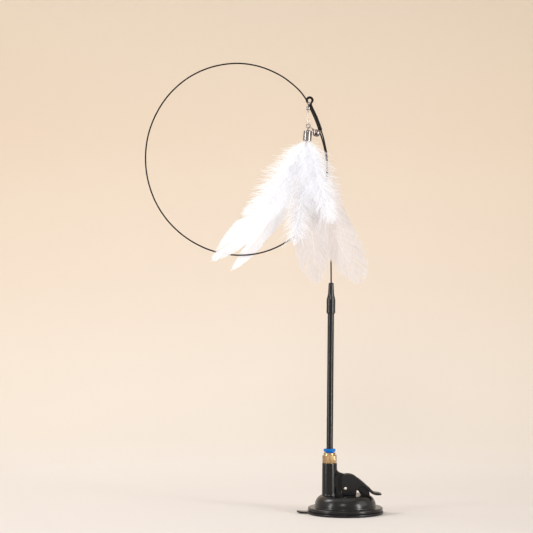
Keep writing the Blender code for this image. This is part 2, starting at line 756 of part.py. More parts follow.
def make_release_spring():
    low = COLLAR_TOP + CLEARANCE + SPRING_WIRE_RADIUS
    high = CEILING - CLEARANCE - SPRING_WIRE_RADIUS
    count = round(SPRING_TURNS * SPRING_POINTS_PER_TURN)
    points = []
    for i in range(count + 1):
        angle = math.tau * SPRING_TURNS * i / count
        height = low + (high - low) * i / count
        points.append((SPRING_RADIUS * math.cos(angle), SPRING_RADIUS * math.sin(angle), height))
    spring = tube("release_spring", points, SPRING_WIRE_RADIUS, BASE, fineness=1)
    spring.data.materials.append(STEEL)
    gap = (high - low) / SPRING_TURNS - 2 * SPRING_WIRE_RADIUS
    print("least gap between the spring's turns, m:", round(gap, 5))


def cam_points():
    """The foot of a cheek: it lets the pin down evenly as the lever turns up, as an involute does."""
    rate = LEVER_STROKE / LEVER_THROW
    points = []
    for i in range(CAM_STEPS + 1):
        turn = LEVER_THROW * i / CAM_STEPS
        height = PIN_ABOVE_BASE - rate * turn
        points.append(
            (
                rate * math.cos(turn) - height * math.sin(turn),
                -rate * math.sin(turn) - height * math.cos(turn),
            )
        )
    return points


def lever_outer():
    """The lever's upper outline, from the cheek's back corner to the tip of the tail."""
    top, reach = CHEEK_CROWN, LEVER_REACH
    return [
        (-CHEEK_BACK, 0.7 * top),
        (-0.94 * CHEEK_BACK, 0.8 * top),
        (-0.7 * CHEEK_BACK, 0.9 * top),
        (-0.17 * CHEEK_BACK, 0.975 * top),
        (0.06 * reach, top),
        (0.14 * reach, 0.98 * top),
        (0.235 * reach, 0.89 * top),
        (0.327 * reach, 0.72 * top),
        (0.414 * reach, 0.565 * top),
        (0.498 * reach, 0.385 * top),
        (0.586 * reach, 0.175 * top),
        (0.673 * reach, -0.02 * top),
        (0.723 * reach, -0.155 * top),
        (0.78 * reach, -0.27 * top),
        (0.84 * reach, -0.31 * top),
        (0.91 * reach, -0.33 * top),
        (0.97 * reach, -0.375 * top),
        (reach, -0.425 * top),
    ]


def lever_inner():
    """The lower outline, from the tip of the tail back to the front of the cheek's foot."""
    top, reach = CHEEK_CROWN, LEVER_REACH
    return [
        (0.985 * reach, -0.465 * top),
        (0.93 * reach, -0.48 * top),
        (0.85 * reach, -0.475 * top),
        (0.774 * reach, -0.43 * top),
        (0.723 * reach, -0.365 * top),
        (0.65 * reach, -0.23 * top),
        (0.601 * reach, -0.075 * top),
        (0.54 * reach, 0.09 * top),
        (0.49 * reach, 0.165 * top),
        (0.446 * reach, 0.19 * top),
        (0.4 * reach, 0.15 * top),
        (0.354 * reach, 0.035 * top),
        (0.325 * reach, -0.07 * top),
        (0.307 * reach, -0.175 * top),
        (CHEEK_FRONT, -PIN_ABOVE_BASE),
    ]


def lever_plan():
    """Seen from above: straight cheeks, then a paddle with a rounded end."""
    back = -CHEEK_BACK - OVERRUN
    corner = PADDLE_HALF_WIDTH / 2
    side = [
        (back, CHEEK_OUTSIDE),
        (PADDLE_START, CHEEK_OUTSIDE),
        (PADDLE_START + CHEEK_THICKNESS, PADDLE_HALF_WIDTH),
        *arc((LEVER_REACH - corner, PADDLE_HALF_WIDTH - corner), corner, corner, 90, 0, 6),
    ]
    return side + [(x, -y) for x, y in reversed(side)]


def handle_roof():
    """The underside of the handle's plate, between its sides."""
    points = [(x, z) for x, z in lever_outer() if BRIDGE_START < x < BRIDGE_END]
    return [(x - HANDLE_THICKNESS / 3, z - HANDLE_THICKNESS) for x, z in points]


def slot_outline():
    """The gap between the cheeks, which the handle's plate bridges from above."""
    back, low, high = -CHEEK_BACK - OVERRUN, -PIN_ABOVE_BASE - OVERRUN, CHEEK_CROWN + OVERRUN
    roof = handle_roof()
    return [
        (back, low),
        (back, high),
        (roof[0][0], high),
        *roof,
        (roof[-1][0], low),
    ]


def make_cam_lever():
    foot = cam_points()
    chamfer_step = CHEEK_BACK + foot[-1][0]
    heel = (-CHEEK_BACK, foot[-1][1] + chamfer_step)
    outline = [*lever_outer(), *lever_inner(), *foot, heel]
    whole = PADDLE_HALF_WIDTH + OVERRUN
    lever = extruded("cam_lever", outline, -whole, whole, PIN_AXIS)
    high = CHEEK_CROWN + OVERRUN
    low = -PIN_ABOVE_BASE - 2 * OVERRUN
    plan = extruded("lever_plan", lever_plan(), low, high, PIN_AXIS, group=CUTTERS, flat=True)
    combine(lever, plan, "INTERSECT")
    cut(lever, extruded("cheek_gap", slot_outline(), -CHEEK_INSIDE, CHEEK_INSIDE, PIN_AXIS, group=CUTTERS))
    half = CHEEK_OUTSIDE + OVERRUN
    hole = disc("cheek_hole", PIN_RADIUS + CLEARANCE, -half, half, PIN_AXIS, steps=SMALL_STEPS, group=CUTTERS)
    hole.rotation_euler = (math.pi / 2, 0, 0)
    cut(lever, hole)
    for side in (-1, 1):
        face = side * CHEEK_OUTSIDE
        low, high = sorted((face - side * PIN_RECESS, face + side * OVERRUN))
        name = "pin_sink_front" if side < 0 else "pin_sink_back"
        sink = disc(name, PIN_SINK_RADIUS, -high, -low, PIN_AXIS, steps=SMALL_STEPS, group=CUTTERS)
        sink.rotation_euler = (math.pi / 2, 0, 0)
        cut(lever, sink)
    finish(lever, BLACK_PLASTIC)


def make_fitting():
    corner = HEX_ACROSS_FLATS / 2 / math.cos(math.pi / 6)
    body = prism("fitting_body", corner, HEX_BOTTOM, HEX_TOP, 6, HEX_TURN, TOWER_AXIS)
    shank = disc("fitting_shank", SHANK_RADIUS, SHANK_BOTTOM, HEX_BOTTOM + OVERRUN, TOWER_AXIS, group=CUTTERS)
    join(body, shank)
    neck_profile = [
        (0, NECK_TOP),
        (NECK_RADIUS - HEX_EDGE, NECK_TOP),
        (NECK_RADIUS, NECK_TOP - HEX_EDGE),
        (HEX_ACROSS_FLATS / 2 - HEX_EDGE, HEX_TOP),
        (HEX_ACROSS_FLATS / 2 - HEX_EDGE, HEX_TOP - OVERRUN),
        (0, HEX_TOP - OVERRUN),
    ]
    join(body, turned("fitting_neck", neck_profile, TOWER_AXIS, group=CUTTERS))
    bore_profile = [
        (0, NECK_TOP + OVERRUN),
        (CHAMBER_RADIUS, NECK_TOP + OVERRUN),
        (CHAMBER_RADIUS, CHAMBER_FLOOR),
        (ROD_HOLE_RADIUS, CHAMBER_FLOOR),
        (ROD_HOLE_RADIUS, ROD_STOP),
        (SHANK_HOLE_RADIUS, ROD_STOP),
        (SHANK_HOLE_RADIUS, SHANK_BOTTOM - OVERRUN),
        (0, SHANK_BOTTOM - OVERRUN),
    ]
    cut(body, turned("fitting_bore", bore_profile, TOWER_AXIS, group=CUTTERS))
    finish(body, BRASS)

    section = [
        (SEAL_MIDDLE + SEAL_SECTION * math.cos(a), CHAMBER_FLOOR + CLEARANCE + SEAL_SECTION * (1 + math.sin(a)))
        for a in [-math.tau * i / 8 for i in range(8)]
    ]
    finish(turned("seal_ring", section, WAND_AXIS, steps=SMALL_STEPS, closed=True), BLACK_RUBBER)

    outer = CHAMBER_RADIUS - CLEARANCE
    claw_profile = [
        (outer - CLAW_RIM, CLAW_TOP),
        (outer, CLAW_TOP),
        (outer, CLAW_TOP - CLAW_THICKNESS),
        (outer - CLAW_RIM, CLAW_TOP - CLAW_THICKNESS),
        (ROD_HOLE_RADIUS, CLAW_BOTTOM),
        (ROD_HOLE_RADIUS, CLAW_BOTTOM + CLAW_THICKNESS),
    ]
    claw = turned("collet_claw", claw_profile, WAND_AXIS, steps=STEPS, closed=True)
    for i in range(CLAW_COUNT // 2):
        reach = outer - CLAW_RIM / 2
        slot = box(
            f"claw_slot_{i + 1}",
            (-reach, -CLAW_SLOT / 2, CLAW_BOTTOM - OVERRUN),
            (reach, CLAW_SLOT / 2, CLAW_TOP + OVERRUN),
            WAND_AXIS,
            group=CUTTERS,
        )
        slot.rotation_euler = (0, 0, math.pi * i / (CLAW_COUNT // 2) + HEX_TURN)
        cut(claw, slot)
    finish(claw, STEEL)

    inner = outer - RETAINER_WALL
    ring_sleeve = inner - CLEARANCE
    retainer_profile = [
        (inner, NECK_TOP - CLEARANCE),
        (outer, NECK_TOP - CLEARANCE),
        (outer, RETAINER_BOTTOM),
        (inner - CLEARANCE / 2, RETAINER_BOTTOM),
        (inner - CLEARANCE / 2, RETAINER_BOTTOM + RETAINER_LIP),
        (inner, RETAINER_BOTTOM + RETAINER_LIP),
    ]
    finish(turned("retainer_sleeve", retainer_profile, TOWER_AXIS, closed=True), WHITE_PLASTIC)
    bore = max(ring_sleeve - RING_SLEEVE_WALL, ROD_HOLE_RADIUS)
    release_profile = [
        (bore, RING_COLLAR_TOP),
        (RING_COLLAR_RADIUS - RING_COLLAR_ROUND, RING_COLLAR_TOP),
        (RING_COLLAR_RADIUS - RING_COLLAR_ROUND / 3, RING_COLLAR_TOP - RING_COLLAR_ROUND / 3),
        (RING_COLLAR_RADIUS, RING_COLLAR_TOP - RING_COLLAR_ROUND),
        (RING_COLLAR_RADIUS, RING_COLLAR_BOTTOM + RING_COLLAR_ROUND / 3),
        (RING_COLLAR_RADIUS - RING_COLLAR_ROUND / 3, RING_COLLAR_BOTTOM),
        (ring_sleeve, RING_COLLAR_BOTTOM),
        (ring_sleeve, RING_SLEEVE_BOTTOM),
        (bore, RING_SLEEVE_BOTTOM),
    ]
    finish(turned("release_ring", release_profile, TOWER_AXIS, closed=True), BLUE_PLASTIC)


def make_rod_and_boot():
    profile = ring_profile(ROD_RADIUS - ROD_WALL, ROD_RADIUS, ROD_BOTTOM, ROD_TOP)
    finish(turned("wand_rod", profile, WAND_AXIS, closed=True), BLACK_ROD)
    neck = BOOT_BOTTOM + BOOT_SLEEVE + BOOT_FLARE
    step = ROD_TOP + CLEARANCE
    sleeve_bore = ROD_RADIUS + CLEARANCE
    boot_profile = [
        (WIRE_HOLE_RADIUS, BOOT_TOP),
        *arc((BOOT_TIP_RADIUS - BOOT_ROUND, BOOT_TOP - BOOT_ROUND), BOOT_ROUND, BOOT_ROUND, 90, 0, 3),
        (BOOT_NECK_RADIUS, neck),
        (BOOT_RADIUS, BOOT_BOTTOM + BOOT_SLEEVE),
        *arc((BOOT_RADIUS - BOOT_ROUND, BOOT_BOTTOM + BOOT_ROUND), BOOT_ROUND, BOOT_ROUND, 0, -90, 3),
        (sleeve_bore, BOOT_BOTTOM),
        (sleeve_bore, step),
        (WIRE_HOLE_RADIUS, step),
    ]
    finish(turned("wire_boot", boot_profile, WAND_AXIS, closed=True), BLACK_SLEEVE)
    plug_radius = ROD_RADIUS - ROD_WALL - CLEARANCE
    plug = disc("wire_plug", plug_radius, ROD_TOP - PLUG_LENGTH, ROD_TOP, WAND_AXIS, steps=SMALL_STEPS)
    hole = disc(
        "plug_hole",
        WIRE_HOLE_RADIUS,
        ROD_TOP - PLUG_LENGTH + OVERRUN,
        ROD_TOP + OVERRUN,
        WAND_AXIS,
        steps=SMALL_STEPS,
        group=CUTTERS,
    )
    cut(plug, hole)
    finish(plug, STEEL)
    low = ROD_TOP - PLUG_LENGTH + OVERRUN + CLEARANCE
    root = disc("wire_root", WIRE_RADIUS, low, FLEX_HEIGHT - CLEARANCE / 2, WAND_AXIS, steps=8)
    finish(root, BLACK_WIRE)


def polar(angle, share):
    """A point of the loop, from its angle in degrees and its distance as a share of the radius."""
    turn = math.radians(angle)
    depth = -LOOP_DEPTH * (max(angle, 0.0) / math.degrees(math.tau + EYE_ANGLE)) ** LOOP_DEPTH_POWER
    reach = share * LOOP_RADIUS
    return Vector((LOOP_X + reach * math.cos(turn), depth, LOOP_Z + reach * math.sin(turn)))


def wire_route():
    """The wire from the boot's tip to the eye, as closely spaced points measured from the base's centre."""
    start = Vector((LOOP_START_X + UPRIGHT_BOW, 0, LOOP_Z - UPRIGHT_RISE))
    points = []
    for i in range(UPRIGHT_POINTS):
        share = i / UPRIGHT_POINTS
        points.append(start + Vector((-UPRIGHT_BOW * share**2, 0, UPRIGHT_RISE * share)))
    points += [polar(angle, share) for angle, share in LOOP_SHARES]
    middle = eye_middle()
    for i in range(EYE_POINTS):
        angle = EYE_FROM + (EYE_TO - EYE_FROM) * i / (EYE_POINTS - 1)
        points.append(middle + EYE_RADIUS * Vector((math.cos(angle), 0, math.sin(angle))))
    return points


def eye_middle():
    return polar(math.degrees(math.tau + EYE_ANGLE), EYE_SHARE)


def cut_route(points, start, stop):
    """The stretch of a route between two distances along it, both ends included."""
    stretch = []
    length = 0.0
    for near, far in zip(points, points[1:]):
        step = (far - near).length
        if length <= start < length + step:
            stretch.append(near.lerp(far, (start - length) / step))
        if start < length + step < stop:
            stretch.append(far)
        if length <= stop < length + step:
            stretch.append(near.lerp(far, (stop - length) / step))
        length += step
    return stretch


def route_length(points):
    return sum((far - near).length for near, far in zip(points, points[1:]))


def make_wire():
    """Returns where the toy hangs: the middle of the eye."""
    knots = wire_route()
    route = smooth(knots, 900)
    length = route_length(route)
    eye_length = EYE_RADIUS * (EYE_TO - EYE_FROM)
    nod = JOINT_SHARE * UPRIGHT_RISE
    half_gap = CLEARANCE / 2
    flex = new_axis("sway_axis", BASE, route[0])
    nod_place = cut_route(route, nod, length)[0]
    nod_axis = new_axis("nod_axis", BASE, nod_place)
    lower = spaced(cut_route(route, half_gap, nod - half_gap), LOWER_POINTS)
    lower = [point - route[0] for point in lower]
    upright = tube("wire_upright", lower, WIRE_RADIUS, flex)
    upright.data.materials.append(BLACK_WIRE)
    neck = length - eye_length - CLEARANCE
    sleeve_stop = neck - SLEEVE_GAP
    sleeve_start = sleeve_stop - SLEEVE_LENGTH
    upper = spaced(cut_route(route, nod + half_gap, sleeve_start), LOOP_POINTS)
    sleeve_route = spaced(cut_route(route, sleeve_start, sleeve_stop), SLEEVE_POINTS)
    bend = spaced(cut_route(route, sleeve_stop, neck), NECK_POINTS)
    eye = []
    for i in range(1, EYE_POINTS):
        angle = EYE_FROM + (EYE_TO - EYE_FROM) * i / (EYE_POINTS - 1)
        eye.append(eye_middle() + EYE_RADIUS * Vector((math.cos(angle), 0, math.sin(angle))))
    whole = upper[:-1] + sleeve_route + bend[1:] + eye
    loop = tube("wire_loop", [point - nod_place for point in whole], WIRE_RADIUS, nod_axis)
    loop.data.materials.append(BLACK_WIRE)
    local = [point - nod_place for point in sleeve_route]
    sleeve = mesh_of(tube("eye_sleeve", local, SLEEVE_RADIUS, nod_axis))
    ahead = (local[-1] - local[-2]).normalized() * OVERRUN
    behind = (local[0] - local[1]).normalized() * OVERRUN
    bore_route = [local[0] + behind, *local, local[-1] + ahead]
    bore = mesh_of(tube("sleeve_bore", bore_route, WIRE_RADIUS + CLEARANCE, nod_axis, group=CUTTERS))
    cut(sleeve, bore)
    finish(sleeve, BLACK_SLEEVE)
    print("length of the spring wire, m:", round(length, 4))
    return eye_middle()


def torus(name, radius, wire, parent, place=(0, 0, 0), turn=(0, 0, 0), steps=SMALL_STEPS, group=PARTS):
    """A ring of round wire about local Z, then turned."""
    section = [
        (radius + wire * math.cos(-math.tau * i / 8), wire * math.sin(-math.tau * i / 8)) for i in range(8)
    ]
    item = turned(name, section, parent, place, steps, group, closed=True)
    item.rotation_euler = turn
    return item


def make_swivel(toy):
    """Everything here is measured from the hook's highest point, on the toy's own axis."""
    loop_middle = -SWIVEL_LOOP_RADIUS
    loop_bottom = loop_middle - SWIVEL_LOOP_RADIUS
    barrel_top = loop_bottom - SWIVEL_WIRE - CLEARANCE
    barrel_bottom = barrel_top - BARREL_LENGTH
    facing_side = (0, math.pi / 2, 0)
    hook = torus("swivel_hook", SWIVEL_LOOP_RADIUS, SWIVEL_WIRE, toy, (0, 0, loop_middle), facing_side)
    top_head = barrel_top - BARREL_LIP - CLEARANCE
    stem = disc("hook_stem", SHANK_WIRE, top_head - HEAD_THICKNESS / 2, loop_bottom, toy, steps=10, group=CUTTERS)
    head = disc("hook_head", HEAD_RADIUS, top_head - HEAD_THICKNESS, top_head, toy, steps=12, group=CUTTERS)
    join(hook, stem)
    join(hook, head)
    finish(hook, STEEL)

    spin = new_axis("spin_axis", toy)
    barrel_profile = [
        (BARREL_HOLE, barrel_top),
        (BARREL_RADIUS - BARREL_LIP, barrel_top),
        (BARREL_RADIUS, barrel_top - BARREL_LIP),
        (BARREL_RADIUS, barrel_bottom + BARREL_LIP),
        (BARREL_RADIUS - BARREL_LIP, barrel_bottom),
        (BARREL_HOLE, barrel_bottom),
        (BARREL_HOLE, barrel_bottom + BARREL_LIP),
        (BARREL_CAVITY, barrel_bottom + BARREL_LIP),
        (BARREL_CAVITY, barrel_top - BARREL_LIP),
        (BARREL_HOLE, barrel_top - BARREL_LIP),
    ]
    finish(turned("swivel_barrel", barrel_profile, spin, steps=SMALL_STEPS, closed=True), STEEL)

    snap_top = barrel_bottom - 2 * CLEARANCE
    snap_bottom = snap_top - SNAP_LENGTH
    half = SNAP_HALF_WIDTH
    side = arc((0, snap_top - half), half, half, 180, 0, 8) + arc((0, snap_bottom + half), half, half, 0, -180, 8)
    link = [(x, 0, z) for x, z in side]
    turn = Matrix.Rotation(SNAP_TURN, 3, "Z")
    link = [turn @ Vector(point) for point in link]
    snap = mesh_of(tube("snap_link", link, SNAP_WIRE, spin, cyclic=True, fineness=2))
    low_head = barrel_bottom + BARREL_LIP + CLEARANCE
    stem = disc("snap_stem", SHANK_WIRE, snap_top, low_head + HEAD_THICKNESS / 2, spin, steps=10, group=CUTTERS)
    head = disc("snap_head", HEAD_RADIUS, low_head, low_head + HEAD_THICKNESS, spin, steps=12, group=CUTTERS)
    join(snap, stem)
    join(snap, head)
    finish(snap, STEEL)
    return spin, snap_bottom


def make_cap(spin, snap_bottom):
    """Returns the axis that carries the feathers, at the middle of the cap's mouth."""
    ring_top = snap_bottom + SNAP_WIRE + CLEARANCE + RING_WIRE
    ring_axis = new_axis("ring_axis", spin, (0, 0, ring_top))
    upright = (math.pi / 2, 0, RING_TURN)
    ring = torus("split_ring", RING_RADIUS, RING_WIRE, ring_axis, (0, 0, -RING_RADIUS), upright)
    finish(ring, STEEL)
    bail_top = -2 * RING_RADIUS + RING_WIRE + CLEARANCE + BAIL_WIRE
    cap_axis = new_axis("cap_axis", ring_axis, (0, 0, bail_top), (0, CAP_LEAN, 0))
    bail_bottom = -2 * BAIL_RADIUS
    crown = bail_bottom - BAIL_WIRE / 2
    mouth = crown - CAP_LENGTH
    inner = CAP_RADIUS - CAP_WALL
    profile = [
        (0, crown),
        *arc((CAP_RADIUS - CAP_ROUND, crown - CAP_ROUND), CAP_ROUND, CAP_ROUND, 90, 0, 4),
        (CAP_RADIUS, mouth),
        (inner, mouth),
        (inner, crown - CAP_CROWN),
        (0, crown - CAP_CROWN),
    ]
    cap = turned("feather_cap", profile, cap_axis)
    side = (math.pi / 2, 0, RING_TURN + math.pi / 2)
    join(cap, torus("cap_bail", BAIL_RADIUS, BAIL_WIRE, cap_axis, (0, 0, -BAIL_RADIUS), side, group=CUTTERS))
    finish(cap, CHROME)
    binding_top = crown - CAP_CROWN - CLEARANCE
    binding_low = binding_top - BINDING_LENGTH
    binding = disc("feather_binding", inner - CLEARANCE, binding_low, binding_top, cap_axis, steps=SMALL_STEPS)
    finish(binding, GLUE)
    return ring_axis, cap_axis, binding_low - CLEARANCE, mouth


def bezier(a, b, c, t):
    return a * (1 - t) ** 2 + b * 2 * t * (1 - t) + c * t**2


def make_feathers(mouth_world, root_height, mouth_height):
    """Each feather is a thin vane in a plane of its own, so no two cross. The quill ends inside the cap."""
    root = Vector((0, root_height - mouth_height))
    for name, layer, spread, tip, bend, width_share, lean in FEATHER_SHARES:
        half_width = width_share * FEATHER_HALF_WIDTH
        start = Vector((spread * FEATHER_SPREAD, root.y))
        mouth = Vector((start.x, 0))
        points = [start, (start + mouth) / 2, mouth]
        for i in range(1, FEATHER_ROWS + 1):
            share = i / FEATHER_ROWS
            points.append(bezier(mouth, Vector(bend) * FEATHER_LENGTH, Vector(tip) * FEATHER_LENGTH, share))
        rows = len(points)
        shape = bmesh.new()
        bmesh.ops.create_grid(shape, x_segments=2, y_segments=rows - 1, size=1.0)
        for vertex in shape.verts:
            k = round((vertex.co.y + 1) / 2 * (rows - 1))
            side = vertex.co.x
            here = points[k]
            ahead = (points[min(k + 1, rows - 1)] - points[max(k - 1, 0)]).normalized()
            across = Vector((-ahead.y, ahead.x))
            along = max(k - 2, 0) / FEATHER_ROWS
            reach = max(half_width * share_at(VANE_SHARES, along), QUILL_HALF_WIDTH)
            x, z = here + across * side * reach
            depth = layer * FEATHER_LAYER - lean * min(z, 0)
            vertex.co = (x, depth, z)
        mesh = bpy.data.meshes.new(name)
        shape.to_mesh(mesh)
        shape.free()
        vane = new_object(name, mesh, BASE, mouth_world)
        solidify = vane.modifiers.new("thickness", "SOLIDIFY")
        solidify.thickness = FEATHER_THICKNESS
        solidify.offset = 0
        finish(vane, FEATHER)


def make_bell(ring_axis):
    """A jingle bell with a slit below, hung by a link through the split ring, beside the cap."""
    turn = Matrix.Rotation(RING_TURN, 3, "Z")
    hold = turn @ Vector((math.cos(LINK_ANGLE), 0, math.sin(LINK_ANGLE))) * RING_RADIUS
    hold.z -= RING_RADIUS
    middle = Vector((BELL_SIDE, -BELL_FORWARD, -BELL_DROP))
    up = (hold - middle).normalized()
    across = turn @ Vector((0, 1, 0))
    across = (across - up * across.dot(up)).normalized()
    frame = Matrix((across, up.cross(across), up)).transposed()
    bell_axis = new_axis("bell_axis", ring_axis, hold, frame.to_euler())
    bell_drop = (hold - middle).length
    eyelet_drop = bell_drop - BELL_RADIUS - EYELET_RADIUS
    link_drop = eyelet_drop - EYELET_RADIUS
    half = LINK_HALF_WIDTH
    side = arc((0, 0), half, half, 180, 0, 8) + arc((0, -link_drop), half, half, 0, -180, 8)
    link = tube("bell_link", [(x, 0, z) for x, z in side], LINK_WIRE, bell_axis, cyclic=True, fineness=2)
    link.data.materials.append(STEEL)

    inner = BELL_RADIUS - BELL_WALL
    outside = arc((0, -bell_drop), BELL_RADIUS, BELL_RADIUS, 90, -84, 9)
    inside = arc((0, -bell_drop), inner, inner, -84, 90, 8)
    shell = turned("bell_shell", outside + inside, bell_axis, steps=SMALL_STEPS)
    side = (0, math.pi / 2, 0)
    join(shell, torus("bell_eyelet", EYELET_RADIUS, LINK_WIRE, bell_axis, (0, 0, -eyelet_drop), side, group=CUTTERS))
    slit = box(
        "bell_slit",
        (-BELL_RADIUS, -BELL_SLIT / 2, -bell_drop - BELL_RADIUS - OVERRUN),
        (BELL_RADIUS, BELL_SLIT / 2, -bell_drop - BELL_WALL),
        bell_axis,
        group=CUTTERS,
    )
    cut(shell, slit)
    finish(shell, CHROME)

    ball = bpy.data.meshes.new("bell_ball")
    shape = bmesh.new()
    bmesh.ops.create_uvsphere(shape, u_segments=12, v_segments=8, radius=BELL_BALL_RADIUS)
    shape.to_mesh(ball)
    shape.free()
    roll_axis = new_axis("roll_axis", ring_axis, middle)
    rest = -inner + BELL_BALL_RADIUS + CLEARANCE
    finish(new_object("bell_ball", ball, roll_axis, (0, 0, rest)), STEEL)


def make_all():
    make_suction_pad()
    make_base_housing()
    make_plunger()
    make_release_spring()
    make_cam_lever()
    make_fitting()
    make_rod_and_boot()
    eye = make_wire()
    hook_place = eye + Vector((-HOOK_SHIFT, 0, -math.sqrt(EYE_RADIUS**2 - HOOK_SHIFT**2)))
    hook_place.z += WIRE_RADIUS + CLEARANCE + SWIVEL_WIRE
    toy = new_axis("toy_axis", BASE, hook_place)
    spin, snap_bottom = make_swivel(toy)
    ring_axis, cap_axis, root_height, mouth = make_cap(spin, snap_bottom)
    bpy.context.view_layer.update()
    mouth_world = BASE.matrix_world.inverted() @ cap_axis.matrix_world @ Vector((0, 0, mouth))
    make_feathers(mouth_world, root_height, mouth)
    make_bell(ring_axis)


make_all()
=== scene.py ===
import math

import bmesh
import bpy
import numpy as np
from mathutils import Matrix, Vector


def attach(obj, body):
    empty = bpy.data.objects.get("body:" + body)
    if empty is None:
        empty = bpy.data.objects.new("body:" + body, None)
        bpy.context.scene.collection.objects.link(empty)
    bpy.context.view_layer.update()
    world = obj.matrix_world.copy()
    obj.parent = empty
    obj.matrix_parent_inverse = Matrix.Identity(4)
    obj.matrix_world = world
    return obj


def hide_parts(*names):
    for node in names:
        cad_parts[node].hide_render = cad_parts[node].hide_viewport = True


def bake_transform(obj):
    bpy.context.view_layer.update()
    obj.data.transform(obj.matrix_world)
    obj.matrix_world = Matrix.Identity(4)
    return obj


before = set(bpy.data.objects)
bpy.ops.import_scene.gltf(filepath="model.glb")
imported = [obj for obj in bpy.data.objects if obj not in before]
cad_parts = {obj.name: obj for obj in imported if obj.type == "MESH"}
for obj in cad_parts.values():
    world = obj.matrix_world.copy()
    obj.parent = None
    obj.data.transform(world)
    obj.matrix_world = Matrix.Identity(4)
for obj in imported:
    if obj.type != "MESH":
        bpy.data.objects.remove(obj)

bl_info = {
    "name": "Suction cup feather wand",
    "version": (1, 0, 0),
    "blender": (4, 5, 0),
    "location": "View3D > Sidebar > Feather wand",
    "description": "Dresses the feather wand: cup, lever, fitting, rod, spring wire, swivel and feathers",
    "category": "Add Mesh",
}

# Outlines and sizes below are in millimetres, and places are in metres with the cup standing on z = 0
MM = 0.001
CUP_X = 75.05 * MM
PIN = Vector((CUP_X, 0, 23.5 * MM))
TOWER_X = CUP_X - 14.5 * MM
LEAN = math.radians(0.5)
# The leaned wand turns about this point in the fitting
WAND_PIVOT = Vector((TOWER_X, 0, 49.5 * MM))
# Where the spring wire leaves the boot
FLEX = Vector((61.983, 0, 213.594)) * MM
# The hook's highest point, the middle of the cap's mouth, the bell's middle and where the bell hangs
TOY = Vector((40.638, -9.0, 380.169)) * MM
MOUTH = Vector((39.525, -9.0, 343.743)) * MM
BELL = Vector((48.138, -12.0, 350.769)) * MM
BELL_HOLD = Vector((42.347, -9.987, 356.751)) * MM
UP = Vector((0, 0, 1))
CUP_FRAME = Matrix.Translation((CUP_X, 0, 0))
PIN_FRAME = Matrix.Translation(PIN)
TOWER_FRAME = Matrix.Translation((TOWER_X, 0, 0))
QUARTER_TURN = Matrix.Rotation(math.radians(90), 4, "X")


# Shapes


def new_mesh(name, verts, faces, material, angle=38.0):
    """A mesh object, smooth but for edges past the angle in degrees; no angle leaves it flat."""
    mesh = bpy.data.meshes.new(name)
    mesh.from_pydata([tuple(v) for v in verts], [], [tuple(f) for f in faces])
    mesh.update()
    item = bpy.data.objects.new(name, mesh)
    bpy.context.scene.collection.objects.link(item)
    mesh.materials.append(material)
    if angle:
        mesh.shade_smooth()
        mesh.set_sharp_from_angle(angle=math.radians(angle))
    return item


def heading(degrees):
    """A level direction, counted from +X towards +Y."""
    a = math.radians(degrees)
    return Vector((math.cos(a), math.sin(a), 0))


def lathe(profile, segments=64, place=Matrix.Identity(4), closed=False):
    """Turns (radius, height) points, running down the outer side, about Z."""
    verts, faces, rings = [], [], []
    for r, z in profile:
        if r <= 1e-6:
            rings.append([len(verts)] * segments)
            verts.append(place @ (Vector((0, 0, z)) * MM))
            continue
        rings.append(list(range(len(verts), len(verts) + segments)))
        for i in range(segments):
            a = math.tau * i / segments
            verts.append(place @ (Vector((r * math.cos(a), r * math.sin(a), z)) * MM))
    pairs = list(zip(rings, rings[1:]))
    if closed:
        pairs.append((rings[-1], rings[0]))
    for top, low in pairs:
        for i in range(segments):
            j = (i + 1) % segments
            face = [top[i], low[i], low[j], top[j]]
            face = [v for k, v in enumerate(face) if v != face[k - 1]]
            if len(face) > 2:
                faces.append(face)
    return verts, faces


def turned(name, profile, segments, place, material, angle=38.0, closed=False):
    """An object made on the lathe."""
    return new_mesh(name, *lathe(profile, segments, place, closed), MATERIALS[material], angle)


def sweep(points, radii, sides=12, closed=False, flat=1.0):
    """A tube along points in metres; radii is one number or one for each point."""
    pts = [Vector(p) for p in points]
    n = len(pts)
    if not hasattr(radii, "__len__"):
        radii = [radii] * n
    tangents = []
    for i in range(n):
        a = pts[i - 1] if (i or closed) else pts[0]
        b = pts[(i + 1) % n] if (i < n - 1 or closed) else pts[-1]
        tangents.append((b - a).normalized())
    side = tangents[0].orthogonal().normalized()
    verts, faces = [], []
    for i in range(n):
        side = (side - tangents[i] * side.dot(tangents[i])).normalized()
        other = tangents[i].cross(side)
        for k in range(sides):
            a = math.tau * k / sides
            verts.append(pts[i] + (side * math.cos(a) + other * math.sin(a) * flat) * radii[i])
    # A closed tube's last ring joins the first where their points lie nearest
    shift = 0
    if closed:
        ahead = [(v - verts[0]).length for v in verts[-sides:]]
        shift = ahead.index(min(ahead))
    for i in range(n if closed else n - 1):
        j = (i + 1) % n
        off = shift if (closed and i == n - 1) else 0
        for k in range(sides):
            a0, a1 = i * sides + (k + off) % sides, i * sides + (k + 1 + off) % sides
            b0, b1 = j * sides + k, j * sides + (k + 1) % sides
            faces.append((a0, a1, b1, b0))
    if not closed:
        faces.append(tuple(range(sides))[::-1])
        faces.append(tuple(range((n - 1) * sides, n * sides)))
    return verts, faces


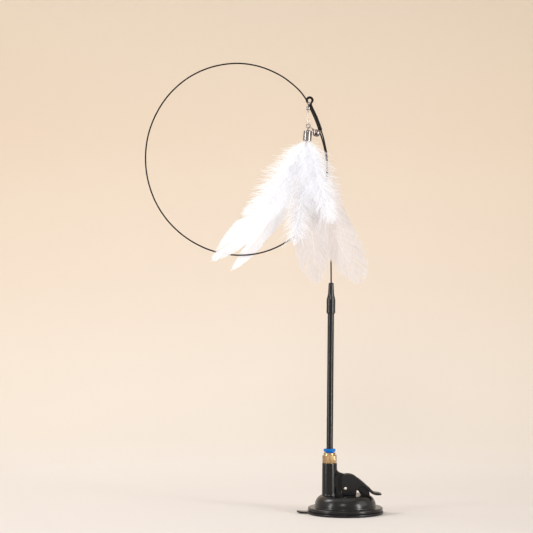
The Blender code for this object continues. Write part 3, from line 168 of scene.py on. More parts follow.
def prism(outline, low, high, plane="XZ", place=Matrix.Identity(4)):
    """An outline, counter-clockwise, made as thick as low to high along the third axis."""
    n = len(outline)
    verts = []
    for depth in (low, high):
        for a, b in outline:
            point = (a, depth, b) if plane == "XZ" else (a, b, depth)
            verts.append(place @ (Vector(point) * MM))
    faces = [tuple(range(n)), tuple(range(2 * n - 1, n - 1, -1))]
    faces += [(i, i + n, (i + 1) % n + n, (i + 1) % n) for i in range(n)]
    item = new_mesh("outline", verts, faces, bpy.data.materials[0], 0)
    work = bmesh.new()
    work.from_mesh(item.data)
    bmesh.ops.recalc_face_normals(work, faces=work.faces)
    work.to_mesh(item.data)
    work.free()
    return item


def rectangle(left, right, low, high):
    """Four corners for a prism."""
    return [(left, low), (right, low), (right, high), (left, high)]


def merged(*shapes):
    """Several shapes as one list of points and one of faces."""
    verts, faces = [], []
    for v, f in shapes:
        start = len(verts)
        verts += list(v)
        faces += [tuple(i + start for i in face) for face in f]
    return verts, faces


def curve_through(points, count):
    """Evenly spaced points on a Catmull-Rom curve."""
    steps = 16
    p = [Vector(x) for x in points]
    p = [2 * p[0] - p[1], *p, 2 * p[-1] - p[-2]]
    samples = []
    for k in range(len(p) - 3):
        a, b, c, d = p[k : k + 4]
        for i in range(steps):
            t = i / steps
            bend = (2 * a - 5 * b + 4 * c - d) * t * t + (3 * b - a - 3 * c + d) * t**3
            samples.append(0.5 * (2 * b + (c - a) * t + bend))
    samples.append(p[-2].copy())
    lengths = np.cumsum([0] + [(b - a).length for a, b in zip(samples, samples[1:])])
    places = np.array([list(s) for s in samples])
    wanted = np.linspace(0, lengths[-1], count)
    columns = [np.interp(wanted, lengths, places[:, i]) for i in range(places.shape[1])]
    return [Vector(row) for row in np.stack(columns, 1)]


def arc_points(middle, radius, start, stop, count, height=None):
    """Points on an arc in degrees, or on part of an ellipse where a height is given."""
    height = radius if height is None else height
    out = []
    for i in range(count + 1):
        a = math.radians(start + (stop - start) * i / count)
        out.append((middle[0] + radius * math.cos(a), middle[1] + height * math.sin(a)))
    return out


def carve(item, *steps):
    """Applies boolean steps, each (operation, object), and keeps the result."""
    for operation, other in steps:
        boolean = item.modifiers.new("cut", "BOOLEAN")
        boolean.operation = operation
        boolean.solver = "EXACT"
        boolean.object = other
    bake(item)
    for _, other in steps:
        bpy.data.objects.remove(other, do_unlink=True)


def bake(item):
    """Turns an object's modifiers into its mesh."""
    bpy.context.view_layer.update()
    graph = bpy.context.evaluated_depsgraph_get()
    mesh = bpy.data.meshes.new_from_object(item.evaluated_get(graph))
    item.modifiers.clear()
    item.data = mesh


def smooth(item, angle):
    """Smooth shading, but for edges past the angle in degrees."""
    item.data.shade_smooth()
    item.data.set_sharp_from_angle(angle=math.radians(angle))


def soften(item, width, segments=2, angle=40.0):
    """Rounds the edges past the angle by the width in millimetres."""
    work = bmesh.new()
    work.from_mesh(item.data)
    bmesh.ops.remove_doubles(work, verts=work.verts, dist=1e-6)
    bmesh.ops.dissolve_degenerate(work, edges=work.edges, dist=1e-6)
    work.to_mesh(item.data)
    work.free()
    bevel = item.modifiers.new("edges", "BEVEL")
    bevel.width = width * MM
    bevel.segments = segments
    bevel.limit_method = "ANGLE"
    bevel.angle_limit = math.radians(angle)
    bevel.use_clamp_overlap = True
    bake(item)
    smooth(item, 30)


def settle(item, material, body, nodes=()):
    """Gives a finished piece its material, its body and the solids that it stands for."""
    if material is not None:
        item.data.materials.clear()
        item.data.materials.append(MATERIALS[material])
    if body:
        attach(item, body)
    if nodes:
        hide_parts(*nodes)


# Materials


class Nodes:
    """Short calls for building a material's node tree."""

    def __init__(self, name):
        self.material = bpy.data.materials.new(name)
        self.material.use_nodes = True
        self.tree = self.material.node_tree
        self.shader = self.tree.nodes["Principled BSDF"]
        self.out = self.tree.nodes["Material Output"]

    def add(self, kind, **values):
        """A new node, with its settings or inputs given by name."""
        node = self.tree.nodes.new(kind)
        for key, value in values.items():
            if hasattr(node, key):
                setattr(node, key, value)
            else:
                node.inputs[key.replace("_", " ")].default_value = value
        return node

    def link(self, a, b):
        """Joins an output to an input."""
        self.tree.links.new(a, b)

    def coords(self, scale=(1, 1, 1)):
        """The object's own coordinates, stretched by a scale."""
        mapping = self.add("ShaderNodeMapping")
        mapping.inputs["Scale"].default_value = scale
        self.link(self.add("ShaderNodeTexCoord").outputs["Object"], mapping.inputs["Vector"])
        return mapping.outputs["Vector"]

    def noise(self, scale, detail=4.0, vector=None):
        """Smooth noise between 0 and 1."""
        node = self.add("ShaderNodeTexNoise", Scale=scale, Detail=detail, Roughness=0.55)
        self.link(self.coords() if vector is None else vector, node.inputs["Vector"])
        return node.outputs["Fac"]

    def ramp(self, value, stops):
        """Colours at places between 0 and 1."""
        node = self.add("ShaderNodeValToRGB")
        elements = node.color_ramp.elements
        while len(elements) < len(stops):
            elements.new(0.5)
        for element, (at, colour) in zip(elements, stops):
            element.position = at
            element.color = (*colour, 1)
        self.link(value, node.inputs["Fac"])
        return node.outputs["Color"]

    def spread(self, value, low, high, start=0.3, stop=0.7):
        """Maps start to stop, which a noise mostly keeps to, onto low to high."""
        node = self.add("ShaderNodeMapRange", From_Min=start, From_Max=stop, To_Min=low, To_Max=high)
        self.link(value, node.inputs["Value"])
        return node.outputs["Result"]

    def bump(self, value, strength, distance):
        """Fine relief on the surface."""
        node = self.add("ShaderNodeBump", Strength=strength, Distance=distance)
        self.link(value, node.inputs["Height"])
        self.link(node.outputs["Normal"], self.shader.inputs["Normal"])

    def set(self, **values):
        """Values on the shader's own sockets."""
        for key, value in values.items():
            self.shader.inputs[key.replace("_", " ")].default_value = value


def tinted(colour, factor):
    """A colour made lighter or darker."""
    return tuple(min(c * factor, 1.0) for c in colour[:3])


def moulded(name, colour, roughness, grain, depth, strength, spec=0.5, wear=1.25, vary=0.06):
    """Moulded plastic or rubber: a fine grain, slow changes of tone and a roughness that varies."""
    m = Nodes(name)
    slow = m.noise(55, 3)
    fine = m.noise(grain, 3)
    tones = [(0.35, tinted(colour, 1 / wear)), (0.7, tinted(colour, wear))]
    m.link(m.ramp(slow, tones), m.shader.inputs["Base Color"])
    m.link(m.spread(fine, roughness - vary, roughness + vary), m.shader.inputs["Roughness"])
    m.bump(fine, strength, depth)
    m.set(Specular_IOR_Level=spec)
    return m.material


def metal(name, colour, rough, streak=(1, 1, 1), scale=900, contrast=1.15, strength=0.15, depth=0.00001):
    """Bare metal, with brushing along one axis where its streak isn't even."""
    m = Nodes(name)
    fine = m.noise(scale, 4, m.coords(streak))
    slow = m.noise(120, 2)
    tones = [(0.3, tinted(colour, 1 / contrast)), (0.7, tinted(colour, contrast))]
    m.link(m.ramp(slow, tones), m.shader.inputs["Base Color"])
    m.link(m.spread(fine, max(rough - 0.06, 0.02), rough + 0.08), m.shader.inputs["Roughness"])
    m.bump(fine, strength, depth)
    m.set(Metallic=1.0)
    return m.material


def coated(name, colour, roughness, streak, scale, spec):
    """Black coat drawn over wire or tube, with faint lines along it."""
    m = Nodes(name)
    lines = m.noise(scale, 3, m.coords(streak))
    spots = m.noise(1500, 2)
    tones = [(0.35, tinted(colour, 0.8)), (0.68, tinted(colour, 1.4))]
    m.link(m.ramp(lines, tones), m.shader.inputs["Base Color"])
    m.link(m.spread(spots, roughness - 0.05, roughness + 0.08), m.shader.inputs["Roughness"])
    m.bump(lines, 0.15, 0.00001)
    m.set(Specular_IOR_Level=spec)
    return m.material


def feather_material(name, colour, clear, through_share, painted_glow):
    """Feather barbs: soft white that light passes through, with faint bands across the vane, and a painted
    glow in their own tone that brightens them.
    """
    m = Nodes(name)
    bands = m.noise(900, 3, m.coords((1, 1, 0.25)))
    slow = m.noise(38, 3)
    tone = m.ramp(slow, [(0.3, tinted(colour, 0.96)), (0.7, colour)])
    m.link(tone, m.shader.inputs["Base Color"])
    m.link(m.spread(bands, 0.62, 0.85), m.shader.inputs["Roughness"])
    # Painted glow: the barbs give off faint light in their own tone, standing in for the front light and
    # the light scattered through the dense down
    m.link(tone, m.shader.inputs["Emission Color"])
    m.set(Sheen_Weight=0.25, Sheen_Roughness=0.5, Specular_IOR_Level=0.2, Emission_Strength=painted_glow)
    through = m.add("ShaderNodeBsdfTranslucent")
    m.link(tone, through.inputs["Color"])
    lit = m.add("ShaderNodeMixShader", Fac=through_share)
    m.link(m.shader.outputs["BSDF"], lit.inputs[1])
    m.link(through.outputs["BSDF"], lit.inputs[2])
    mix = m.add("ShaderNodeMixShader")
    m.link(m.spread(bands, max(clear - 0.05, 0), clear + 0.05), mix.inputs["Fac"])
    m.link(lit.outputs["Shader"], mix.inputs[1])
    m.link(m.add("ShaderNodeBsdfTransparent").outputs["BSDF"], mix.inputs[2])
    m.link(mix.outputs["Shader"], m.out.inputs["Surface"])
    return m.material


# The paper's own cream at the floor, then painted shade from the floor to PAPER_HEIGHT up and towards the
# sides: darker and warmer with height, and darker at the sides, standing in for how the lamps' light falls
# off across the paper
PAPER_SHADE_TONES = [
    (0.0, (0.77, 0.725, 0.69)),
    (0.06, (0.745, 0.68, 0.605)),
    (0.35, (0.705, 0.605, 0.505)),
    (0.65, (0.68, 0.565, 0.45)),
    (1.0, (0.625, 0.525, 0.42)),
]
PAPER_SIDE_SHADE = [(0.0, (1.0, 1.0, 1.0)), (0.5, (0.985, 0.98, 0.975)), (1.0, (0.95, 0.94, 0.92))]
PAPER_HEIGHT = 0.6
PAPER_HALF_WIDTH = 0.36


def backdrop_material(name):
    """A seamless paper sweep with painted shade, darker and warmer towards the top and darker to the sides,
    that a camera behind it sees through.
    """
    m = Nodes(name)
    place = m.add("ShaderNodeNewGeometry")
    parts = m.add("ShaderNodeSeparateXYZ")
    m.link(place.outputs["Position"], parts.inputs["Vector"])
    # Painted shade: the paper's colour darkens and warms with height
    tone = m.ramp(m.spread(parts.outputs["Z"], 0.0, 1.0, 0.0, PAPER_HEIGHT), PAPER_SHADE_TONES)
    side = m.add("ShaderNodeMath", operation="ABSOLUTE")
    m.link(parts.outputs["X"], side.inputs[0])
    shade = m.add("ShaderNodeMix", data_type="RGBA", blend_type="MULTIPLY")
    shade.inputs["Factor"].default_value = 1.0
    m.link(tone, shade.inputs["A"])
    # Painted shade: the colour darkens towards the sides
    edge = m.spread(side.outputs[0], 0.0, 1.0, 0.0, PAPER_HALF_WIDTH)
    m.link(m.ramp(edge, PAPER_SIDE_SHADE), shade.inputs["B"])
    m.link(shade.outputs["Result"], m.shader.inputs["Base Color"])
    fibre = m.noise(1400, 3)
    m.link(m.spread(fibre, 0.85, 0.95), m.shader.inputs["Roughness"])
    m.bump(fibre, 0.05, 0.00005)
    m.set(Specular_IOR_Level=0.1)
    behind = m.add("ShaderNodeMath", operation="MULTIPLY")
    m.link(m.add("ShaderNodeLightPath").outputs["Is Camera Ray"], behind.inputs[0])
    m.link(place.outputs["Backfacing"], behind.inputs[1])
    through = m.add("ShaderNodeMixShader")
    m.link(behind.outputs[0], through.inputs["Fac"])
    m.link(m.shader.outputs["BSDF"], through.inputs[1])
    m.link(m.add("ShaderNodeBsdfTransparent").outputs["BSDF"], through.inputs[2])
    m.link(through.outputs["Shader"], m.out.inputs["Surface"])
    return m.material


MATERIALS = {}


def make_materials(sizes):
    """Every finish on the wand, by the name that the pieces use."""
    black = tuple(sizes.plastic_colour)
    blue = tuple(sizes.ring_colour)
    wire = (0.006, 0.0045, 0.004)
    MATERIALS.update(
        plastic=moulded("housing_plastic", black, 0.24, 1900, 0.000004, 0.12, spec=0.31, vary=0.012),
        lever=moulded("lever_plastic", black, 0.36, 1500, 0.00001, 0.25, spec=0.34, vary=0.03),
        rubber=moulded("pad_rubber", tinted(black, 0.9), 0.3, 2200, 0.000004, 0.12, spec=0.3, vary=0.02),
        white=moulded("white_plastic", (0.7, 0.69, 0.66), 0.45, 2600, 0.00002, 0.35),
        blue=moulded("ring_plastic", blue, 0.35, 2400, 0.00001, 0.2, spec=0.15, wear=1.1),
        brass=metal("brass", tuple(sizes.brass_colour), 0.27, (1, 1, 0.15), 900, 1.12),
        steel=metal("steel", (0.34, 0.31, 0.3), 0.22, scale=1200),
        pin=metal("pin_steel", (0.86, 0.81, 0.73), 0.4, scale=1200),
        chrome=metal("chrome", (0.24, 0.225, 0.22), 0.13, (1, 1, 0.1), 700, 1.05, 0.01, 0.000001),
        dark_chrome=metal("dark_chrome", (0.22, 0.19, 0.185), 0.12, (1, 1, 1), 700, 1.1, 0.01, 0.000001),
        rod=coated("rod_coat", black, 0.14, (1, 1, 0.02), 500, 0.3),
        boot=coated("boot_sleeve", tinted(black, 0.7), 0.13, (1, 1, 0.1), 300, 0.38),
        sleeve=coated("eye_sleeve", tinted(black, 0.5), 0.3, (1, 1, 0.1), 300, 0.15),
        wire=coated("wire_coat", wire, 0.4, (0.3, 1, 0.3), 800, 0.12),
        glue=moulded("glue", (0.62, 0.56, 0.42), 0.4, 600, 0.0001, 0.5),
        # The last number of each feather finish is its painted glow, a faint light given off by the barbs
        # themselves
        feather=feather_material("feather", (0.95, 0.955, 0.98), 0.03, 0.4, 0.12),
        sheer=feather_material("sheer_feather", (0.86, 0.82, 0.81), 0.14, 0.4, 0.04),
        quill=moulded("quill", (0.88, 0.84, 0.8), 0.4, 900, 0.00001, 0.2, wear=1.05),
    )


# The solids that stay as they are, because they are hidden or already have their full shape
NODE_MATERIALS = {
    "pad_plunger": "plastic",
    "release_spring": "steel",
    "lever_pin": "steel",
    "seal_ring": "rubber",
    "collet_claw": "steel",
    "retainer_sleeve": "white",
    "wire_plug": "steel",
    "wire_root": "wire",
    "feather_binding": "glue",
    "bell_ball": "steel",
}


def dress_nodes():
    """The solids that stay shown get the same kinds of material."""
    for node, material in NODE_MATERIALS.items():
        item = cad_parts[node]
        if not item.data.materials:
            item.data.materials.append(None)
        for i in range(len(item.data.materials)):
            item.data.materials[i] = MATERIALS[material]


# Camera, light and sweep

# Even light from all round, and the cream that cameras and mirroring surfaces see instead of it
FILL_COLOUR = (1.0, 0.985, 0.965, 1)
SEEN_COLOUR = (0.9, 0.82, 0.74, 1)
# Name, place, the point that it faces, width, height, which power it shares and how much of it, colour
LAMPS = [
    ("key", (-1.05, 0.2, 1.3), (0, 0, 0.1), 0.5, 0.5, "key_power", 1.0, (1, 0.99, 0.98)),
    ("front", (-0.3, -1.75, 1.05), (0, 0, 0.2), 0.5, 0.5, "front_power", 0.5, (1, 0.99, 0.985)),
    ("strip_right", (1.19, -0.9, 0.3), (0, 0, 0.3), 0.24, 1.1, "side_power", 4.0, (1, 0.99, 0.985)),
    ("strip_left", (-1.18, -0.68, 0.3), (0, 0, 0.3), 0.2, 1.1, "side_power", 2.3, (1, 0.99, 0.985)),
    ("top", (-0.1, -0.1, 1.55), (0, 0.1, 0), 1.5, 1.2, "top_power", 1.0, (1, 0.995, 0.985)),
    ("paper_left", (-1.5, -0.35, 0.9), (0, 0.5, 0.35), 0.9, 1.2, "back_power", 0.35, (1, 0.99, 0.975)),
    ("paper_right", (1.5, -0.35, 0.9), (0, 0.5, 0.35), 0.9, 1.2, "back_power", 1.5, (1, 0.99, 0.975)),
]
PAPER_COLUMNS = (-1.2, -0.5, 0, 0.5, 1.2)
PAPER_FRONT = -0.24


def make_lamps(sizes):
    """Softboxes and strips, each turned to the point that it lights."""
    for name, place, target, width, height, power, share, colour in LAMPS:
        light = bpy.data.lights.new(name, "AREA")
        light.shape = "RECTANGLE"
        light.size = width
        light.size_y = height
        light.energy = share * getattr(sizes, power)
        light.color = colour
        item = bpy.data.objects.new(name, light)
        bpy.context.scene.collection.objects.link(item)
        item.location = place
        item.rotation_euler = (Vector(target) - item.location).to_track_quat("-Z", "Y").to_euler()


def make_camera(sizes):
    """A long lens that looks level at the wand from the front."""
    camera = bpy.data.cameras.new("camera")
    camera.sensor_width = 36
    camera.lens = sizes.lens
    camera.clip_start = 0.05
    item = bpy.data.objects.new("camera", camera)
    bpy.context.scene.collection.objects.link(item)
    item.location = (sizes.camera_side, -sizes.camera_distance, sizes.camera_height)
    item.rotation_euler = (math.radians(90), 0, 0)
    bpy.context.scene.camera = item


def make_world(sizes):
    """The room's even light, and the plain colours of the view."""
    scene = bpy.context.scene
    scene.view_settings.view_transform = "Standard"
    scene.view_settings.look = "None"
    world = bpy.data.worlds.new("studio")
    scene.world = world
    world.use_nodes = True
    tree = world.node_tree
    fill = tree.nodes["Background"]
    fill.inputs["Color"].default_value = FILL_COLOUR
    fill.inputs["Strength"].default_value = sizes.fill_strength
    seen = tree.nodes.new("ShaderNodeBackground")
    seen.inputs["Color"].default_value = SEEN_COLOUR
    rays = tree.nodes.new("ShaderNodeLightPath")
    mix = tree.nodes.new("ShaderNodeMixShader")
    seen_by = rays.outputs["Is Camera Ray"]
    for ray in ("Is Glossy Ray", "Is Transmission Ray"):
        either = tree.nodes.new("ShaderNodeMath")
        either.operation = "MAXIMUM"
        tree.links.new(seen_by, either.inputs[0])
        tree.links.new(rays.outputs[ray], either.inputs[1])
        seen_by = either.outputs[0]
    tree.links.new(seen_by, mix.inputs["Fac"])
    tree.links.new(fill.outputs["Background"], mix.inputs[1])
    tree.links.new(seen.outputs["Background"], mix.inputs[2])
    tree.links.new(mix.outputs["Shader"], tree.nodes["World Output"].inputs["Surface"])


def make_paper(sizes):
    """Paper that lies flat under the cup, then bends up and stands behind it."""
    back, bend = sizes.floor_depth, sizes.sweep_bend
    profile = [(PAPER_FRONT, 0.0), (PAPER_FRONT / 2, 0.0), (0.0, 0.0)]
    profile += arc_points((back, bend), bend, -90, 0, 24)
    profile += [(back + bend, bend + 0.5), (back + bend, bend + 1.6)]
    verts = [(x, y, z) for y, z in profile for x in PAPER_COLUMNS]
    row = len(PAPER_COLUMNS)
    faces = []
    for i in range(len(profile) - 1):
        for a in range(i * row, i * row + row - 1):
            faces.append((a, a + 1, a + row + 1, a + row))
    sweep_item = new_mesh("paper_sweep", verts, faces, backdrop_material("paper"), 60)


# Cup, housing and lever

PAD_PROFILE = [
    (0, 7.2), (11.4, 7.2), (11.8, 6.8), (11.85, 4.4), (12.6, 3.9), (18, 3.5), (24.4, 2.5), (26.4, 2.4),
    (34.4, 2.4), (34.9, 2.2), (35.1, 1.8), (35.1, 0.7), (34.9, 0.25), (34.3, 0), (30.1, 0),
]
HOUSING_PROFILE = [
    (0, 17.0),
    (19.0, 17.0),
    *arc_points((20.5, 6.9), 7.8, 90, 0, 16, 10.1),
    (28.35, 6.4), (28.6, 6.05), (29.1, 5.9), (33.4, 5.9),
    *arc_points((33.6, 4.9), 1.0, 90, 0, 5),
    (34.6, 3.0), (34.3, 2.7), (26.0, 2.7), (26.0, 7.1),
    *arc_points((18.2, 6.9), 7.8, 2, 90, 8),
    (0, 14.7),
]
# Two points close to the ends keep the long wall's shading straight
TOWER_PROFILE = [
    (0, 46.4), (6.6, 46.4), (6.82, 46.3), (6.9, 46.1), (6.905, 45.6), (7.143, 19.0), (7.15, 18.2),
    (7.25, 17.5), (7.5, 17.1), (7.6, 16.2), (0, 16.2),
]
BLOCK_OUTLINE = [
    (-14.5, 15.9), (-3.5, 15.9), (-3.5, 31.0), (-0.85, 33.0), (-0.8, 35.8), (-1.1, 36.4), (-1.7, 36.8),
    (-3.8, 37.3), (-5.2, 37.9), (-6.5, 38.7), (-7.2, 39.4), (-7.35, 40.2), (-14.5, 40.2),
]
REST_OUTLINE = [
    (15.3, -7.7), (22.8, -7.7), (22.35, -5.2), (21.87, -3.3), (21.87, -1.86), (19.0, 0.7), (16.0, 3.4),
    (13.2, 5.7), (9.0, 5.7), (9.0, -2.0), (11.5, -2.0),
]
BLOCK_HALF = 3.6
PLUNGER_HOLE = rectangle(-3.5, 3.5, -3.6, 3.6)
# The tab starts to curl this far from the cup's middle, and rises this much over the length of its end
TAB_CURL_START = 36
TAB_CURL_LENGTH = 9
TAB_CURL_RISE = 0.9


def drum(radius, low, high):
    """The profile of a plain cylinder."""
    return [(0, high), (radius, high), (radius, low), (0, low)]


def both_sides(near, far):
    """The same span on either side of the middle."""
    return (-far, -near), (near, far)


def pad_tab_outline():
    """The pull tab at the pad's left: a short neck and a round end."""
    neck = [(-30, 6.5), (-34.2, 6.3), (-35.4, 5.2), (-36.6, 4.6)]
    mirrored = [(x, -y) for x, y in reversed(neck)]
    return neck + arc_points((-40.4, 0), 4.5, 90, 270, 14) + mirrored


def make_pad():
    """The soft pad, hollow below, with a pocket for the plunger and a tab whose end curls up."""
    hollow = arc_points((0, 0), 30.1, 0, 90, 12, 1.7)
    pad = turned("suction_pad_skin", [*PAD_PROFILE, *hollow[1:]], 128, CUP_FRAME, "rubber", 40)
    pocket = turned("pocket", drum(9.3, 3.7, 5.9), 64, CUP_FRAME, "rubber")
    carve(pad, ("DIFFERENCE", pocket), ("DIFFERENCE", prism(PLUNGER_HOLE, 3.9, 9, "XY", CUP_FRAME)))
    tab = prism(pad_tab_outline(), 0.5, 1.7, "XY", CUP_FRAME)
    work = bmesh.new()
    work.from_mesh(tab.data)
    bmesh.ops.triangulate(work, faces=work.faces)
    bmesh.ops.subdivide_edges(work, edges=work.edges, cuts=2, use_grid_fill=True)
    for vertex in work.verts:
        out = max(CUP_X - TAB_CURL_START * MM - vertex.co.x, 0) / (TAB_CURL_LENGTH * MM)
        vertex.co.z += TAB_CURL_RISE * MM * out**2
    work.to_mesh(tab.data)
    work.free()
    carve(pad, ("UNION", tab))
    smooth(pad, 40)
    settle(pad, "rubber", None, ("suction_pad",))
    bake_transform(pad)


def make_housing():
    """The housing: a dome with its deck, a tower with two flats, a grooved block and the lever's rest."""
    shell = turned("base_shell", HOUSING_PROFILE, 128, CUP_FRAME, "plastic", 40)
    tower = turned("tower", TOWER_PROFILE, 96, TOWER_FRAME, "plastic", 40)
    for low, high in both_sides(1.8, 9):
        flat = prism(rectangle(-10.4, -4, 24.2, 34.5), low, high, "XZ", CUP_FRAME)
        carve(tower, ("DIFFERENCE", flat))
    block = prism(BLOCK_OUTLINE, -BLOCK_HALF, BLOCK_HALF, "XZ", CUP_FRAME)
    for low, high in both_sides(3.0, 4.6):
        groove = prism(rectangle(-6.2, -5.0, 17.6, 33.2), low, high, "XZ", CUP_FRAME)
        carve(block, ("DIFFERENCE", groove))
    soften(block, 0.45, 3, 35)
    rest = prism(REST_OUTLINE, -BLOCK_HALF, BLOCK_HALF, "XZ", PIN_FRAME)
    soften(rest, 0.35, 3, 35)
    hole = prism(PLUNGER_HOLE, 13.5, 18, "XY", CUP_FRAME)
    bore = turned("bore", drum(5.2, 37.4, 48), 64, TOWER_FRAME, "plastic")
    joined = [("UNION", part) for part in (tower, block, rest)]
    carve(shell, *joined, ("DIFFERENCE", hole), ("DIFFERENCE", bore))
    smooth(shell, 32)
    settle(shell, "plastic", "base", ("base_housing",))


# The lever's outline, counted from its pin: over the paddle to its tip, back below it, then round the cheek
LEVER_TOP = [
    (-3.6, 9.1), (-3.45, 10.4), (-2.9, 11.4), (-1.9, 12.25), (-0.4, 12.75), (2.0, 13.0), (4.7, 12.75),
    (7.9, 11.6), (11.0, 9.4), (13.9, 7.35), (16.7, 5.0), (19.7, 2.3), (22.6, -0.2), (24.3, -2.0),
    (26.0, -3.4), (28.2, -4.05), (30.6, -4.3), (32.3, -4.8),
]
LEVER_TIP = [(33.3, -5.2), (33.55, -5.65), (33.1, -6.05)]
LEVER_LOW = [
    (31.2, -6.2), (28.5, -6.15), (26.0, -5.6), (24.3, -4.75), (21.8, -3.0), (20.2, -0.95), (18.1, 1.2),
    (16.4, 2.2), (15.0, 2.45), (13.4, 1.95), (11.9, 0.45), (10.9, -0.9), (10.3, -2.3), (10.0, -4.6),
]
LEVER_FOOT = [
    (9.8, -5.9), (9.5, -6.15), (9.2, -6.2), (2.04, -6.2), (0.9, -6.15), (-0.6, -5.75), (-1.81, -4.69),
    (-3.3, -3.2), (-3.55, -2.6),
]
# The paddle seen from above, one side of it
LEVER_PLAN = [
    (-5, 6.0), (21.5, 6.0), (23.5, 6.2), (25.5, 6.5), (27.5, 6.7), *arc_points((30.2, 3.4), 3.4, 84, 0, 9),
]
CHEEK_GAP = [
    (-5, -8), (-5, 15.5), (13.5, 15.5), (13.5, 6.05), (16.3, 3.7), (19.3, 1.0), (22.2, -1.6), (22.2, -8),
]
PIN_END = [(0, 5.85), (0.6, 5.83), (1.1, 5.7), (1.25, 5.5), (1.25, 5.1), (0, 5.1)]
# Each grip rib: places along it as a share of its half length, how far they drop, and their radius
RIB_POINTS = [(-1, 0.35, 0.2), (-0.96, 0.02, 0.36), (0.96, 0.02, 0.36), (1, 0.35, 0.2)]
RIB_HALF = 4.6
RIB_COUNT = 10


def make_lever():
    """The cam lever: two cheeks on the pin and a paddle between them."""
    top = curve_through([(*p, 0) for p in LEVER_TOP + LEVER_TIP + LEVER_LOW], 90)
    outline = [(v.x, v.y) for v in reversed(top)] + LEVER_FOOT[::-1]
    lever = prism(outline, -8.5, 8.5, "XZ", PIN_FRAME)
    plan = LEVER_PLAN + [(x, -y) for x, y in reversed(LEVER_PLAN)]
    carve(lever, ("INTERSECT", prism(plan[::-1], -9, 16, "XY", PIN_FRAME)))
    soften(lever, 0.8, 4, 40)
    carve(lever, ("DIFFERENCE", prism(CHEEK_GAP, -3.9, 3.9, "XZ", PIN_FRAME)))
    turn = PIN_FRAME @ QUARTER_TURN
    carve(lever, ("DIFFERENCE", turned("pin_hole", drum(1.6, -10, 10), 32, turn, "lever")))
    for low, high in both_sides(5.5, 7):
        carve(lever, ("DIFFERENCE", turned("pin_sink", drum(2.15, low, high), 32, turn, "lever")))
    smooth(lever, 32)
    settle(lever, "lever", "lever", ("cam_lever",))


def make_grip_ribs():
    """Low ribs across the paddle for the thumb."""
    route = curve_through([(x, 0, z) for x, z in LEVER_TOP[8:15]], 60)
    ribs = []
    for k in range(8, 8 + 4 * RIB_COUNT, 4):
        ahead = (route[k + 1] - route[k - 1]).normalized()
        up = Vector((-ahead.z, 0, ahead.x))
        up = up if up.z > 0 else -up
        line = []
        for y, drop, _ in RIB_POINTS:
            line.append(PIN + (route[k] + Vector((0, y * RIB_HALF, 0)) - up * drop) * MM)
        ribs.append(sweep(line, [radius * MM for _, _, radius in RIB_POINTS], 10))
    item = new_mesh("lever_grip_ribs", *merged(*ribs), MATERIALS["lever"])
    settle(item, None, "lever", ())


def make_pin_ends():
    """The pin's rounded ends, in the sinks of the lever's cheeks."""
    heads = []
    for angle in (90, -90):
        heads.append(lathe(PIN_END, 32, PIN_FRAME @ Matrix.Rotation(math.radians(angle), 4, "X")))
    item = new_mesh("pin_ends", *merged(*heads), MATERIALS["pin"])
    settle(item, None, "plunger", ())


# Fitting, rod and boot

HEX_CORNER = 6.0 / math.cos(math.pi / 6)
HEX_TURN = 15
HEX_LOW = 46.7
HEX_TOP = 53.8
HEX_CHAMFER = [(0, HEX_TOP), (5.85, HEX_TOP), (7.6, 52.75), (7.6, 47.3), (6.4, HEX_LOW), (0, HEX_LOW)]
NECK_PROFILE = [
    (0, 56.0), (5.2, 56.0), (5.5, 55.7), (5.55, 55.2), (5.3, 54.9), (5.35, 54.5), (5.85, 53.9), (5.85, 53),
    (0, 53),
]
SHANK_PROFILE = [(0, 47.5), (4.9, 47.5), (4.9, 39.4), (4.4, 38.9), (0, 38.9)]
BORE_PROFILE = [
    (0, 57), (4.9, 57), (4.9, 47.0), (3.3, 47.0), (3.3, 41.0), (2.4, 41.0), (2.4, 38), (0, 38),
]
COLLAR_PROFILE = [
    (3.35, 59.7), (3.5, 59.7), (4.7, 59.7), (5.1, 59.6), (5.4, 59.3), (5.5, 58.9), (5.5, 57.6),
    (5.42, 57.25), (5.2, 57.1), (3.8, 57.1), (3.8, 51.3), (3.35, 51.3),
]
ROD_PROFILE = [(2.0, 196.2), (2.85, 196.2), (3.0, 196.0), (3.0, 41.5), (2.85, 41.3), (2.0, 41.3)]
BOOT_PROFILE = [
    (0.75, 213.3), (1.4, 213.25), (2.0, 212.95), (2.3, 212.5), (2.42, 211.8), (2.62, 207.0),
    (2.85, 203.6), (2.95, 202.4), (3.2, 201.2), (3.75, 199.2), (4.0, 198.2), (4.1, 197.2),
    (4.13, 195.0), (4.05, 190.0), (4.13, 186.6), (4.13, 185.5), (3.95, 184.9), (3.6, 184.6),
    (3.3, 184.6), (3.3, 196.4), (0.75, 196.5),
]


def make_fitting():
    """The brass body, cut from hexagon bar with a turned neck and shank."""
    hexagon = arc_points((0, 0), HEX_CORNER, HEX_TURN, HEX_TURN + 300, 5)
    body = prism(hexagon, HEX_LOW, HEX_TOP, "XY", TOWER_FRAME)
    carve(body, ("INTERSECT", turned("chamfer", HEX_CHAMFER, 96, TOWER_FRAME, "brass")))
    soften(body, 0.12, 2, 25)
    carve(
        body,
        ("UNION", turned("neck", NECK_PROFILE, 96, TOWER_FRAME, "brass")),
        ("UNION", turned("shank", SHANK_PROFILE, 96, TOWER_FRAME, "brass")),
        ("DIFFERENCE", turned("bore", BORE_PROFILE, 64, TOWER_FRAME, "brass")),
    )
    smooth(body, 22)
    body.name = "fitting_hex"
    settle(body, "brass", "base", ("fitting_body",))


def make_collar():
    """The blue ring that is pressed to let the rod go, with a skirt that reaches into the brass."""
    item = turned("release_collar", COLLAR_PROFILE, 96, TOWER_FRAME, "blue", 40, closed=True)
    settle(item, None, "release_ring", ("release_ring",))


